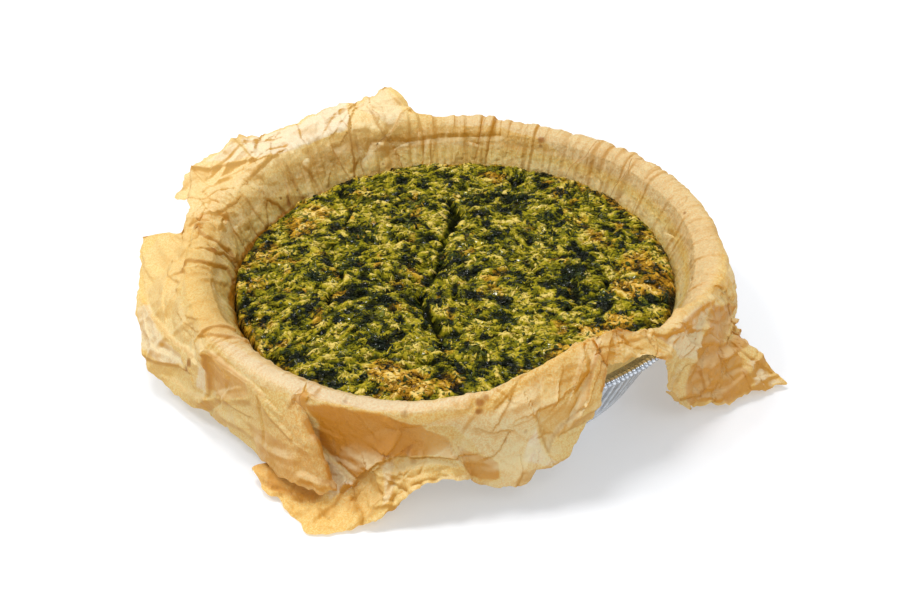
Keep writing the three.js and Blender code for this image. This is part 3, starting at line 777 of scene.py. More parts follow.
def wall_wrinkles():
    """Upright wrinkles and faint pleats of the tight paper."""
    turn = np.radians(angle_grid) * RIM_RADIUS
    flat = np.stack([turn, along_strip * 0.16, np.zeros_like(turn)], axis=2).reshape(-1, 3)
    fold = 0.5 - np.abs(facets(bent(flat, 10, 3, 41), 6.5, 4))
    fine = facets(bent(flat, 4, 1, 51), 2.4, 5)
    depth = 0.35 + 0.65 * ramp(lumps(flat, 30, 61), -0.5, 0.5)
    depth *= 1 + 0.7 * arc(92, 104, 170, 200).ravel()
    relief = (fold * 1.3 + fine * 0.6) * depth
    slanted = np.stack([turn, along_strip * 0.35 + turn * 0.1, np.zeros_like(turn)], axis=2).reshape(-1, 3)
    deep = 0.55 - np.abs(facets(bent(slanted, 16, 4, 46), 12, 7))
    relief += deep * 2.0 * (arc(60, 100, 205, 235) + 0.25).ravel()
    for place in PLEATS:
        away = np.abs((angle_grid - place + 180) % 360 - 180).ravel() * RIM_ARC
        relief += PLEAT_RISE * np.clip(1 - away / PLEAT_HALF, 0, 1)
    return relief.reshape(angle_grid.shape)


def crumpled_share():
    """How hard each place was crumpled: most at the right flap and the hem, least in the flat panels."""
    low = ramp(along_strip, 34, 44)
    flap = arc(318, 326, 347, 354) * low * 1.6
    foot = arc(236, 243, 258, 268) * ramp(along_strip, 54, 60) * 1.5
    front = arc(284, 292, 312, 320) * low * 0.9
    corner = arc(96, 100, 162, 172) * ramp(along_strip, 22, 30) * 0.5
    panel = arc(243, 246, 268, 276) * ramp(along_strip, 60, 52) * 0.2
    return np.maximum.reduce([flap, foot, front, corner, 0.32 - panel])


relief, fold_line = single_folds(sheet)
creased = raised(sheet, relief + flat_facets(sheet, [(26, 2.0), (13, 1.4)], 301) * loose)
smoother = 1 - 0.6 * ramp(along_strip, 10, 18) * arc(165, 180, 300, 350)
creased = raised(creased, wall_wrinkles() * smoother * (1 - loose) * ramp(along_strip, -8, 6))
small = flat_facets(sheet, [(7.5, 0.80), (3.6, 0.26)], 311)
wall = arc(98, 108, 165, 180) * ramp(along_strip, 33, 27) * 0.75
creased = raised(creased, small * (crumpled_share() * (0.15 + 0.85 * loose) + wall))
print("deepest crease %.1f mm" % np.linalg.norm(creased - sheet, axis=2).max())

# %% [markdown]
# The hem is made ragged along the sheet itself, and then the whole sheet is kept off the tin: out of a
# circle round the bead, inside the wall and above the table.

# %% Ragged hem and clearances
BEAD_CENTRE = (112.8, 44.3)
BEAD_CLEAR, NEAR_BEAD = 2.3, 6.0
WALL_CLEAR, WALL_TOP = 0.35, 45.0
ON_WALL = 20.0  # millimetres along the strip
INSIDE_BEAD = -4.8  # reach from the bead's centre
TABLE_CLEAR = 0.5
RAGGED_DEPTH = 9.0


def ragged(grid):
    """Stretch or shorten the last rows along their strips by a jagged amount."""
    end = grid[:, -1] - grid[:, -4]
    end /= np.linalg.norm(end, axis=1, keepdims=True)
    hem = sheet[:, -1]
    jag = facets(bent(hem, 9, 3, 71), 10, 72) * 1.5 + facets(hem, 4, 73) * 1.1 + facets(hem, 1.8, 74) * 0.7
    to_hem = strip_length[:, None] - along_strip
    share = np.clip(1 - to_hem / RAGGED_DEPTH, 0, 1) ** 1.5
    return grid + end[:, None, :] * (jag[:, None] * share)[..., None]


def kept_clear(grid):
    """The grid kept off the tin and the table, where the creases would cut into them."""
    reach, height = np.hypot(grid[..., 0], grid[..., 1]), grid[..., 2]
    limit = wall_reach(height) + WALL_CLEAR
    smooth_out = np.hypot(sheet[..., 0], sheet[..., 1]) - BEAD_CENTRE[0]
    inside = ((along_strip < ON_WALL) | (smooth_out < INSIDE_BEAD)) & (height < WALL_TOP)
    new_reach = np.where(inside, np.minimum(reach, limit), reach)
    smooth_up = sheet[..., 2] - BEAD_CENTRE[1]
    away = np.hypot(smooth_out, smooth_up)
    side, rise = smooth_out / away, smooth_up / away
    stands_off = (new_reach - BEAD_CENTRE[0]) * side + (height - BEAD_CENTRE[1]) * rise
    push = np.where(away < NEAR_BEAD, np.clip(BEAD_CLEAR - stands_off, 0, None), 0)
    new_reach = new_reach + push * side
    height = height + push * rise
    scale = new_reach / np.maximum(reach, 1e-6)
    return np.stack([grid[..., 0] * scale, grid[..., 1] * scale, np.maximum(height, TABLE_CLEAR)], axis=2)


creased = kept_clear(ragged(creased))

# %% [markdown]
# ## What is painted on the paper
# A material can follow numbers painted on the mesh. The line of a fold is darker, partly because two
# layers meet there and partly as painted shade under a lapped edge, and a ridge has a painted highlight
# along its top. A facet that its crease turns away from the light is painted deeper and one turned
# towards it paler: that is painted shade and painted light, taken from the way to the lamps. Larger
# areas differ too, and are mostly painted light and shade: deep orange is painted shade where the
# paper lies in shadow, and paper that is doubled or fat-soaked is deep orange too, and nearly white is
# painted light where one layer has light behind it or a facet faces the lamps. These areas are polygons
# of addresses, and the spots are drips and specks of the filling.

# %% Areas and spots
# Deep tones are mostly painted shade, besides doubled or soaked paper; pale tones are painted light, where
# light comes through one layer or a facet faces the lamps.
TONES = [  # polygon of addresses, tone from -1 pale to 1 deep
    # shaded hollow
    ([(241.5, 37.4), (243.9, 34.2), (248.4, 33.9), (255.2, 32.9), (262.8, 38.5), (267.4, 48.3),
      (269.6, 57), (266.3, 54.9), (262.4, 54.5), (257.9, 51.5), (254.5, 56.3), (249.5, 71.2),
      (247.1, 68.8), (244.4, 64.1), (243.4, 58.5), (243.2, 46.8)], 1),
    ([(269.7, 53.3), (272.1, 56.7), (276.6, 63.6), (276.8, 71.7), (272.3, 71.3), (270.7, 64.3)], 1.0),
    ([(262.8, 38.5), (268.5, 43.3), (273, 54.2), (273.8, 58), (269.6, 56), (267.4, 48.3)], 0.4),
    # cone fold
    ([(239.5, 39.2), (237.8, 26.9), (241.9, 36.7), (241.4, 47.3), (235.9, 58.2), (244.1, 72.6),
      (245.2, 80.6), (244.7, 84.2), (243.5, 86.3), (242.6, 85.6), (235.3, 73.1), (235.4, 58.1),
      (234.7, 51.8), (234, 48.1)], 0.85),
    # doubled facet
    ([(213.8, 37.3), (215.8, 34.2), (225, 36.6), (225.3, 43.7), (221.9, 48.6), (217.1, 54.9),
      (214.6, 55.4)], 0.6),
    # cone foot
    ([(240.3, 87), (232.8, 70.1), (244.5, 79.4), (244.5, 84.6), (242.4, 88.2), (241, 90.4)], 0.75),
    ([(239.7, 91.4), (239, 84.6), (240.6, 86.2), (241.1, 91), (240.4, 91.2)], 0.4),
    # right flap
    ([(334.4, 37.9), (338.8, 45.9), (347.9, 52.5), (338.9, 58.2), (334.3, 60.4), (339.7, 64.6),
      (339.4, 70.6), (337.5, 69.4), (335.8, 74.1), (336.1, 83.2), (334.9, 86.1), (333.2, 85.1),
      (330.3, 84.2), (325, 80.1), (323.5, 74.4), (323.3, 67.9), (325, 55), (327, 52),
      (330.6, 45.9)], 0.8),
    ([(316.8, 52.4), (320.6, 57.1), (323, 73.4), (321.2, 71.7), (319.7, 64.1)], 0.2),
    # front right
    ([(284.7, 50.2), (290.1, 53.9), (294.3, 54.7), (294.7, 60.7), (293.3, 65.7), (288.8, 69.6),
      (288, 72.2), (286.3, 61.6)], 0.4),
    ([(288, 39.6), (294.6, 43.1), (298.4, 44.5), (296.8, 50.2), (290.3, 49.3), (286.3, 45.8)], 0.25),
    # lip foot
    ([(258.5, 55.2), (268.6, 58.4), (270.5, 65.6), (264.5, 67.1), (259.1, 71.8), (257.6, 60.2)], 0.25),
    # hem foot
    ([(247, 77.1), (252.7, 67.4), (256.4, 68.6), (254.7, 81.9), (250.4, 85.9), (247.9, 84.3)], 0.3),
    # back wall, painted shade under the rim
    ([(130.5, 28.7), (117, 30), (108.1, 23.2), (102.7, 23), (86.8, 25.2), (76.3, 24.5), (65.1, 21.2),
      (59.1, 17.6), (70.3, 14.8), (86.8, 16.7), (103.2, 15.1), (118.3, 20.1), (129.3, 18.6)], 0.42),
    ([(136.3, 25.3), (128.5, 23.2), (118.2, 21.1), (118.7, 10.2), (130.7, 12.4), (138.1, 13.8)], 0.2),
    # darker patch on the wall
    ([(107.4, 21.4), (103.5, 19.2), (103.3, 7.2), (107.9, 7.6)], 0.4),
    # pale corner, painted light that comes through
    ([(140.1, 48.2), (135.1, 45.9), (127.1, 44.1), (120.1, 45.3), (112.6, 46.3), (114.1, 36.2),
      (117.2, 30.6), (124.3, 29.5), (133.1, 30.6), (140.9, 33), (142.5, 37.1)], -0.5),
    ([(110.9, 43.3), (99.8, 50.2), (99.2, 40.1), (101.3, 33.4), (105.2, 25.7), (108.3, 32.9)], -0.25),
    ([(148.7, 49.6), (144.4, 49.4), (141.6, 49.6), (141.9, 44), (143, 37.3), (146.5, 40.9)], -0.4),
    # pale flap
    ([(185.4, 62.1), (186.6, 55.5), (195.2, 53.4), (204.1, 53), (207, 55.2), (201.5, 63.2),
      (195.2, 65.8), (191.3, 67.8)], -0.45),
    # pale facet
    ([(212, 46.7), (214.4, 44.9), (214.5, 57.8), (211.3, 60.3)], -0.4),
    # rim strip
    ([(212.2, 32.3), (220.1, 26.9), (233.1, 25.5), (243.2, 25.7), (256.2, 25), (266.6, 30.1),
      (272.6, 30.3), (272.3, 36.9), (264.8, 33.9), (257.1, 31.8), (245.2, 33), (234, 37.1),
      (227.9, 36.5), (220.9, 34.8)], -0.2),
    # pale hem
    ([(243.9, 64.2), (247.1, 70.2), (249.8, 72.8), (249, 78.4), (246.8, 83.9), (244.6, 75.5)], -0.6),
    ([(244.8, 66.3), (246.3, 65.5), (248.5, 71.1), (247.3, 72.8)], -0.3),
    ([(255.4, 56.2), (257.7, 52.5), (257.8, 71.9), (256.5, 75.7)], -0.35),
    # flap tip
    ([(337.7, 74.9), (338.7, 79.7), (338.4, 89.4), (338.7, 94.2), (337.5, 92.1), (336.2, 88.2),
      (336.1, 80.9)], -0.5),
    # flap ridge
    ([(316, 35.1), (326.3, 35), (333.8, 36.1), (333.2, 43.7), (328.9, 45.4), (328.2, 50.7),
      (324.7, 55.7), (321.5, 52.3), (318.3, 39.9)], -0.4),
    # front point
    ([(285.6, 59.5), (287.8, 73.6), (290.2, 79.8), (287.2, 78), (282.1, 69.1), (284, 63.3)], -0.4),
    # cone face
    ([(224, 58), (229, 56), (233, 62), (234.5, 70), (234.5, 80), (225, 80)], 0.4),
    # left flap
    ([(171, 36), (189, 36), (207, 38), (211, 46), (200, 53), (190, 55), (176, 60), (172, 52)], -0.1),
]
SPOTS = [  # address, radius in millimetres, strength
    # drip
    ((274.3, 34.3), 1.9, 0.9), ((273.9, 38.1), 1.5, 1), ((275.6, 32.6), 1.2, 0.6),
    # smear
    ((208.7, 50.5), 1.8, 1), ((208.5, 54.9), 1.6, 0.9),
    # speck
    ((140.2, 8.7), 1.8, 0.9), ((139.8, 11), 1.2, 0.7), ((176.3, 22.2), 1.3, 1), ((142.3, 12.7), 0.7, 1.2),
    ((134.9, 7.2), 0.6, 1.2), ((108.6, 9.9), 0.6, 1.2), ((64.9, 21.3), 1.7, 0.9), ((64.6, 18.4), 0.9, 0.6),
    ((12.2, 23.4), 0.8, 0.9), ((6, 34.2), 0.7, 0.9), ((1.6, 34.4), 0.7, 0.9), ((235.9, 24.3), 1.3, 0.5),
    ((260, 33.4), 1.4, 0.4), ((261.2, 57.1), 1.1, 0.5), ((278.7, 57), 1, 0.4), ((283.1, 57.3), 0.9, 0.4),
    ((247.6, 29.7), 0.7, 0.5),
]
RIM_MM = 2.0  # millimetres round the rim to a degree, as the areas are measured
AREA_EDGE = 0.5
LIGHT = np.array([-0.36, 0.16, 0.92])  # the way to the light
HEM_LINE, HEM_TONE = 1.0, 0.12


def inside_polygon(x, y, corners, soft):
    """A share for each place: 1 well inside the polygon, 0 outside."""
    closed = corners + corners[:1]
    nearest, odd = from_chain(x, y, closed), np.zeros(len(x), bool)
    for (ax, ay), (bx, by) in zip(closed[:-1], closed[1:]):
        rise = by - ay if abs(by - ay) > 1e-9 else 1e-9
        odd ^= ((ay > y) != (by > y)) & (x < ax + (y - ay) * (bx - ax) / rise)
    return ramp(np.where(odd, nearest, -nearest), -soft, soft)


def painted_tones():
    """Tone of every point of the sheet, from -1 to 1: mostly painted light and shade."""
    flat = np.stack([angle_grid * RIM_MM, along_strip, np.zeros_like(along_strip)], axis=2).reshape(-1, 3)
    flat = bent(bent(flat, 12, 1.0, 81), 3, 0.4, 84)
    tone = np.zeros(len(flat))
    for corners, depth in TONES:
        x_corners = [(a * RIM_MM, b) for a, b in corners]
        share = inside_polygon(flat[:, 0], flat[:, 1], x_corners, AREA_EDGE)
        tone = np.where(np.abs(depth * share) > np.abs(tone), depth * share, tone)
    tone = tone.reshape(along_strip.shape)
    # Painted light and shade on the inner wall: paler from the right round to the back right, where light
    # falls on it, and a little deeper elsewhere.
    painted_wall_light_and_shade = ramp(along_strip, 13, 9) * (0.28 * arc(60, 90, 300, 340) - 0.22)
    facing_front = 0.1 + 0.9 * np.maximum(ramp(angle_grid, 200, 225), ramp(angle_grid, 97, 85))
    # Painted light on the top of the rim, most on the sides that face the front, and on the front lip.
    painted_light = stretch(14, 18, 30, 35) * 0.26 * facing_front
    painted_light += ramp(along_strip, 37, 41) * arc(258, 266, 284, 292) * 0.2
    # A dark line of painted shade low on the wall, where the food meets the paper, most at the left.
    painted_wall_light_and_shade += ramp(along_strip, 7.5, 4.5) * (0.25 + 0.35 * arc(100, 120, 250, 270))
    painted_wall_light_and_shade += ramp(along_strip, 6.5, 4.5) * arc(125, 145, 220, 235)
    # The standing corner is painted paler, as light that comes through it.
    standing = arc(98, 102, 164, 172) * ramp(along_strip, 24, 31) * 0.2
    return np.clip(tone + painted_wall_light_and_shade - painted_light - standing, -1, 1)


def painted_spots():
    """Drips and specks, from 0 to 1."""
    points = bent(sheet.reshape(-1, 3), 2.2, 0.5, 91)
    total = np.zeros(len(points))
    for (angle, distance), radius, strength in SPOTS:
        away = np.linalg.norm(points - at_address(angle, distance), axis=1)
        total = np.maximum(total, min(strength, 1) * ramp(away, radius * 1.35, radius * 0.6))
    return total.reshape(along_strip.shape)


def slant_of(grid):
    """How far the creases turn the sheet towards the light, or away from it."""
    return (facing(grid) - facing(sheet)) @ LIGHT


# The slant is painted light and shade: facets turned towards the lamps paler, those turned away deeper,
# less in the front panel and with more shade on the right flap.
tone_paint, spot_paint = painted_tones(), painted_spots()
painted_slant_light = slant_of(creased)
painted_slant_light *= 1 - 0.9 * arc(241, 244, 268, 272) * ramp(along_strip, 55, 50)
on_flap = ramp(angle_grid, 318, 326) * ramp(along_strip, 34, 44)
painted_slant_light *= 1 + on_flap * np.where(painted_slant_light < 0, 0.9, -0.45)
to_hem = strip_length[:, None] - along_strip
fold_line = np.where(to_hem < HEM_LINE, HEM_TONE, fold_line)
print("creases turn the paper by %.2f to %.2f" % (painted_slant_light.min(), painted_slant_light.max()))

# %% [markdown]
# ## The sheet as a mesh
# The one sheet is made as two meshes, so that neither has too many faces: the hanging flaps, and the
# plain rim at the back and right. They share the points along two folds, at the back and at the front
# right, where the joint doesn't show. A plain grid comes from an operator, and its points are moved to
# the places worked out above. The first row closes in the middle of the base, and the part under the
# food is left coarse, because nothing shows there.

# %% Make the two meshes
CREASE_ANGLE = 10.0


def sheet_mesh(grid, paints, first, last):
    """One part of the sheet, from one column to another, with its painted numbers."""
    turns = np.radians(rim_angles)
    hidden = [[(r * math.cos(turn), r * math.sin(turn), z) for r, z in HIDDEN_ROWS] for turn in turns]
    full = np.concatenate([np.array(hidden), grid], axis=1)
    chosen = np.arange(first, last + 1) % COLUMNS
    full = full[chosen]
    wide, rows = last - first, full.shape[1]
    work = bmesh.new()
    bmesh.ops.create_grid(work, x_segments=wide, y_segments=rows - 1, size=0.5)
    mesh = finished(work, "paper")
    plan = mesh_points(mesh)
    column = np.rint((plan[:, 0] + 0.5) * wide).astype(int)
    row = np.rint((plan[:, 1] + 0.5) * (rows - 1)).astype(int)
    put_points(mesh, full[column, row] * MM)
    for name, values in paints.items():
        padded = np.concatenate([np.zeros((COLUMNS, len(HIDDEN_ROWS))), values], axis=1)
        paint(mesh, name, padded[chosen][column, row])
    work = bmesh.new()
    work.from_mesh(mesh)
    bmesh.ops.remove_doubles(work, verts=work.verts, dist=0.001 * MM)
    work.to_mesh(mesh)
    work.free()
    if min(mesh.polygons, key=lambda p: p.center.length).normal.z < 0:
        mesh.flip_normals()
    smooth(mesh)
    mesh.set_sharp_from_angle(angle=math.radians(CREASE_ANGLE))
    return mesh


# The inner share gives the inner wall warmer, brighter pulp, as painted bounce light.
paints = {"tone": tone_paint, "inner": ramp(along_strip, 17, 10), "spots": spot_paint,
          "fold_line": fold_line, "slant": np.clip(painted_slant_light, -1, 1)}
seam, other_seam = [int(np.searchsorted(rim_angles, angle)) for angle in SEAMS]
front_paper = sheet_mesh(creased, paints, seam, other_seam)
back_paper = sheet_mesh(creased, paints, other_seam, seam + COLUMNS)
print("paper: %d and %d faces" % (len(front_paper.polygons), len(back_paper.polygons)))

# %% [markdown]
# ## Paper as a material
# Baking paper is thin pulp, and light goes through it. A principled shader gives the slightly greasy
# front, and a translucent one is mixed in for the light from behind: most where one layer hangs free,
# least where the paper is painted deep or pale. Fine mottling breaks up the colour as fibres do.

# %% The paper's material
OUTSIDE = ((0.86, 0.46, 0.09, 1), (0.95, 0.78, 0.34, 1))  # between the fibres and on them
# The inner wall's pulp is painted warmer and brighter, as light bounced about inside the tin.
INSIDE_BOUNCE_LIGHT = ((0.98, 0.60, 0.12, 1), (1.0, 0.87, 0.36, 1))
# The pale colour is painted light, and the deep one painted shade, with doubled and soaked paper.
CLOUDED, PALE_LIGHT, DEEP_SHADE_AND_SOAK = (0.92, 0.55, 0.15, 1), (0.86, 0.83, 0.74, 1), (0.54, 0.205, 0.008, 1)
LIT, SHADED = (0.99, 0.88, 0.54, 1), (0.62, 0.26, 0.012, 1)
# A fold's dark line is painted shade, and doubled paper; drips and specks are stains.
FOLD_LINE, DRIP, SPECK = (0.44, 0.16, 0.018, 1), (0.34, 0.10, 0.01, 1), (0.30, 0.17, 0.06, 1)
SHINES_THROUGH = (1.0, 0.74, 0.28, 1)


def crumple(place, size, seed):
    """Flat little facets about size metres across, as a height: Manhattan distance has straight folds."""
    spin = {"Vector": place, "Axis": (0.4, 0.7, 0.3 + seed * 0.2), "Angle": 0.8 + seed * 1.1}
    spun = place.node("ShaderNodeVectorRotate", spin, rotation_type="AXIS_ANGLE")
    wave = place.node("ShaderNodeTexNoise", {"Vector": place, "Scale": 0.35 / size}, out=1)
    reach = (size * 1.8,) * 3
    moved = spun.node("ShaderNodeVectorMath", {0: wave, 1: reach, 2: spun}, operation="MULTIPLY_ADD")
    cells = {"Vector": moved, "Scale": 1 / size}
    return moved.node("ShaderNodeTexVoronoi", cells, feature="F1", distance="MANHATTAN")


def make_paper():
    """Greaseproof paper: fibred pulp with painted colour, light and shade, and partly see-through."""
    material, tree, shader, place = start_material("greaseproof_paper")
    fibres = noise(place, 1400, 3.0, 0.75)
    cloud = noise(place, 45, 3.0, 0.6)
    fleck = noise(place, 2600, 2.0, 0.5)
    tone = painted(place, "tone")
    slant = painted(place, "slant")
    line = painted(place, "fold_line")
    grain = fibres.between(0.40, 0.60)
    # Warmer, brighter pulp on the inner wall, as painted bounce light.
    pulp = painted(place, "inner").blend(grain.blend(*OUTSIDE), grain.blend(*INSIDE_BOUNCE_LIGHT))
    colour = (cloud.between(0.42, 0.66) * 0.25).blend(pulp, CLOUDED)
    # Pale is painted light: light through one layer, and light on lit facets and on the rim.
    pale = ((0.0 - tone) * (0.6 + fibres * 0.6)).clamped()
    colour = pale.blend(colour, PALE_LIGHT)
    # Deep orange is painted shade, and doubled or soaked paper.
    deep = (tone * (1.0 + (cloud - 0.5) * 0.8 + (fibres - 0.5) * 0.6)).clamped()
    colour = deep.blend(colour, DEEP_SHADE_AND_SOAK)
    # Painted highlights on facets and ridges, then painted shade on facets turned away.
    lit = ((slant * 1.2 - line * 0.5) * (1.0 - deep * 0.3)).clamped()
    colour = lit.blend(colour, LIT)
    colour = (slant * -2.0).clamped().blend(colour, SHADED)
    # Dark fold lines: painted shade, and doubled paper.
    colour = (line * (0.85 - pale * 0.6)).clamped().blend(colour, FOLD_LINE)
    colour = painted(place, "spots").blend(colour, DRIP)
    colour = (fleck.between(0.74, 0.80) * 0.3).blend(colour, SPECK)
    relief = crumple(place, 0.0046, 2) * 0.36 + crumple(place, 0.002, 3) * 0.18 + fibres * 0.22
    feed(tree, shader, Base_Color=colour, Roughness=0.40, Specular_IOR_Level=0.32,
         Normal=bump(relief, 1.0, 0.001))
    through = tree.nodes.new("ShaderNodeBsdfTranslucent")
    through.inputs["Color"].default_value = SHINES_THROUGH
    mix = tree.nodes.new("ShaderNodeMixShader")
    tree.links.new((0.39 - deep * 0.31 - pale * 0.25).output, mix.inputs["Fac"])
    tree.links.new(shader.outputs[0], mix.inputs[1])
    tree.links.new(through.outputs[0], mix.inputs[2])
    tree.links.new(mix.outputs[0], tree.nodes["Material Output"].inputs["Surface"])
    return material


greaseproof = make_paper()
show("paper_flaps", front_paper, greaseproof, "paper_liner")
show("paper_rim", back_paper, greaseproof, "paper_liner")

# %% [markdown]
# ## The food's surface
# The top of the quiche is a mat of chopped leaves bound by egg. Its broad form comes from the solid:
# points of a fine square table are dropped on to it, and cracks, lumps and streaks are added to the
# height there. Everything else reads this table, so the body and the bits on it always agree.

# %% A table of places on the food
EDGE = 98.3  # reach of the food's top
STEP = 0.5
HALF = 200  # steps from the middle of the table to its side
RAY_START = 0.2
LOWEST = 29.0
SMOOTHINGS = 6
food_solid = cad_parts["quiche"].data
food_tree = BVHTree.FromPolygons(
    [v.co for v in food_solid.vertices], [tuple(p.vertices) for p in food_solid.polygons])


def dropped(x, y):
    """Height of the solid's top at a place in plan, or of its edge outside it, in millimetres."""
    reach = max(math.hypot(x, y), 1e-6)
    inward = min(1, (EDGE - 0.5) / reach)
    above = Vector((x * inward * MM, y * inward * MM, RAY_START))
    hit = food_tree.ray_cast(above, Vector((0, 0, -1)))[0]
    return hit.z / MM if hit else LOWEST


coarse = np.arange(-HALF, HALF + 1, 2) * STEP
broad = np.array([[dropped(x, y) for y in coarse] for x in coarse])
for _ in range(SMOOTHINGS):
    around = broad[2:, 1:-1] + broad[:-2, 1:-1] + broad[1:-1, 2:] + broad[1:-1, :-2]
    broad[1:-1, 1:-1] = broad[1:-1, 1:-1] * 0.4 + around * 0.15
line = np.arange(-HALF, HALF + 1) * STEP
plan_x, plan_y = [g.ravel() for g in np.meshgrid(line, line, indexing="ij")]
plan = np.stack([plan_x, plan_y, np.zeros(len(plan_x))], axis=1)


def look_up(table, x, y, step=STEP):
    """Read a square table at places in plan, in millimetres, between its points."""
    half = (len(table) - 1) / 2
    u = np.clip(x / step + half, 0, 2 * half - 0.001)
    v = np.clip(y / step + half, 0, 2 * half - 0.001)
    i, j = u.astype(int), v.astype(int)
    u, v = u - i, v - j
    low = table[i, j] * (1 - v) + table[i, j + 1] * v
    high = table[i + 1, j] * (1 - v) + table[i + 1, j + 1] * v
    return low * (1 - u) + high * u


def as_table(values):
    """Values of the points in plan as a square table."""
    return values.reshape(len(line), len(line))


print("food stands from %.1f to %.1f mm" % (broad.min(), broad.max()))

# %% [markdown]
# Cracks open where steam lifted the middle. Each is a chain of points in plan, with a depth and a
# width. A real crack is deep in some places and nearly closed in others, and its lips stand up a
# little, so both follow from noise along it.

# %% Cracks
CRACKS = [  # points in plan, depth and half width in millimetres
    ([(-2, 60), (2, 47), (-2, 26), (-8, 7), (-12, -10), (-15, -23), (-10, -35), (-5, -46), (-4, -57)],
     4.6, 1.5),
    ([(-12, -10), (-20, -6), (-26, -9), (-31, -6)], 4.0, 1.4),
    ([(-2, 26), (-14, 27), (-24, 22)], 3.4, 1.5),
    ([(-51, 6), (-53, -11), (-53, -28)], 2.4, 1.1),
    ([(48, -34), (59, -23), (71, -10)], 3.0, 1.2),
    ([(6, 69), (14, 64), (26, 68), (34, 76)], 3.6, 1.5),
    ([(-50, 68), (-47, 50), (-48, 41)], 2.0, 1.0),
    ([(-56, -62), (-39, -62), (-23, -64), (-9, -65), (6, -66)], 2.0, 1.1),
    ([(-5, -46), (10, -50), (24, -47)], 1.6, 0.9),
    ([(2, 47), (16, 44), (27, 36)], 2.0, 1.0),
    ([(-15, -23), (-30, -27), (-41, -25)], 1.8, 1.0),
    ([(24, 12), (34, 2), (36, -12)], 1.4, 0.8),
    ([(60, 22), (52, 12), (54, 2)], 1.4, 0.8),
    ([(-70, 24), (-60, 20), (-52, 26)], 1.4, 0.8),
    ([(40, 52), (52, 48), (60, 54)], 1.6, 0.9),
    ([(-34, 60), (-24, 54), (-20, 46)], 1.6, 0.9),
]


wandering = bent(bent(plan, 9, 3.2, 81), 2.6, 1.0, 84)
open_share = ramp(lumps(plan, 9, 87), -0.45, 0.35)
crack, lips = np.zeros(len(plan)), np.zeros(len(plan))
for chain, deep, half in CRACKS:
    away = from_chain(wandering[:, 0], wandering[:, 1], chain)
    crack = np.maximum(crack, deep * (0.25 + 0.75 * open_share) * np.exp(-(away / half) ** 2))
    lips = np.maximum(lips, 0.8 * np.exp(-((away - 2.4 * half) / (1.3 * half)) ** 2))
print("deepest crack %.1f mm" % crack.max())

# %% [markdown]
# The filling was stirred and spread, so its leaves lie along slow curves. Noise that is averaged along
# those curves turns into streaks, in the same way as iron filings show a magnet's field. Two widths of
# streaks, together with round clumps and the gaps between them, make both the relief and the colour of
# the mat; gaps and cracks are painted darker, partly as shade and partly for the dark leaf in them. At
# the left the food has shrunk from the paper, and the gap left there is painted dark as shade.

# %% Streaks and clumps
swirl = 0.15 + lumps(plan, 30, 121) * 1.3 + lumps(plan, 9, 122) * 1.2


def streaks(size, stride, count, seed):
    """Noise averaged along the swirl, scaled to a spread of one."""
    total = np.zeros(len(plan))
    for k in range(-count, count + 1):
        moved = plan.copy()
        moved[:, 0] += np.cos(swirl) * k * stride
        moved[:, 1] += np.sin(swirl) * k * stride
        total += lumps(moved, size, seed)
    return total / total.std()


def even(values):
    """The values shifted and scaled to a mean of nothing and a spread of one."""
    return (values - values.mean()) / values.std()


thin_streak, broad_streak = streaks(1.15, 0.6, 3, 131), streaks(2.4, 1.1, 2, 132)
clump = even(lumps(bent(plan, 7, 3, 141), 6.5, 142) + 1.1 * lumps(bent(plan, 4, 1.6, 151), 3.0, 152))
speckle = even(lumps(plan, 1.0, 161))
BROWNED = [  # place in plan, radius, strength
    ((83, 0), 12, 0.8), ((90, -14), 12, 1.0), ((77, -19), 9, 0.9), ((-29, -73), 10, 0.9),
    ((-19, -82), 11, 1.0), ((-3, -80), 9, 0.8), ((-70, 39), 10, 0.8), ((-62, 53), 9, 0.7),
    ((-86, 14), 8, 0.7), ((61, -53), 10, 0.9), ((70, -44), 8, 0.9), ((30, -78), 8, 0.5),
    ((-78, -34), 6, 0.4), ((20, 78), 8, 0.8), ((66, 20), 7, 0.6), ((58, 34), 6, 0.5),
    ((-16, -2), 6, 0.6), ((-24, -13), 5, 0.5), ((12, -24), 5, 0.4), ((-58, 14), 5, 0.4),
    ((44, -66), 9, 0.7), ((88, 24), 7, 0.7), ((-88, -6), 6, 0.6), ((52, 60), 6, 0.4),
    ((-2, -36), 5, 0.6), ((34, 30), 4, 0.4), ((-44, 66), 6, 0.5), ((-84, 24), 6, 0.6),
]
LEAFY = [
    ((-30, -22), 5, 1.0), ((-47, -19), 5, 1.0), ((-32, -54), 5, 0.9), ((82, -27), 6, 1.0),
    ((9, 55), 7, 1.0), ((33, 58), 7, 0.9), ((-4, -54), 6, 1.0), ((7, -79), 5, 1.0),
    ((-12, 57), 6, 0.9), ((-51, -81), 5, 1.0), ((-64, -61), 4, 1.0), ((-70, -61), 4, 1.0),
    ((-19, -21), 4, 0.9), ((24, 64), 6, 0.9), ((-40, 30), 7, 0.8), ((-60, 0), 5, 0.8),
    ((40, 20), 7, 0.7), ((20, -40), 6, 0.7), ((50, -10), 7, 0.7), ((-20, 40), 6, 0.8),
    ((0, 10), 6, 0.7), ((28, -8), 6, 0.6), ((-38, -40), 5, 0.7), ((64, -28), 5, 0.8),
    ((-44, 6), 5, 0.7), ((16, 20), 5, 0.6), ((44, 40), 5, 0.7), ((-66, -30), 5, 0.7),
]


def share_of(places, seed):
    """How far each place in plan belongs to the listed ones, with ragged edges."""
    ragged_plan = bent(bent(plan, 7, 3.4, seed), 2.2, 1.2, seed + 3)
    total = np.zeros(len(plan))
    for (x, y), radius, strength in places:
        away = np.hypot(ragged_plan[:, 0] - x, ragged_plan[:, 1] - y)
        total = np.maximum(total, strength * ramp(away, radius * 1.25, radius * 0.35))
    return total


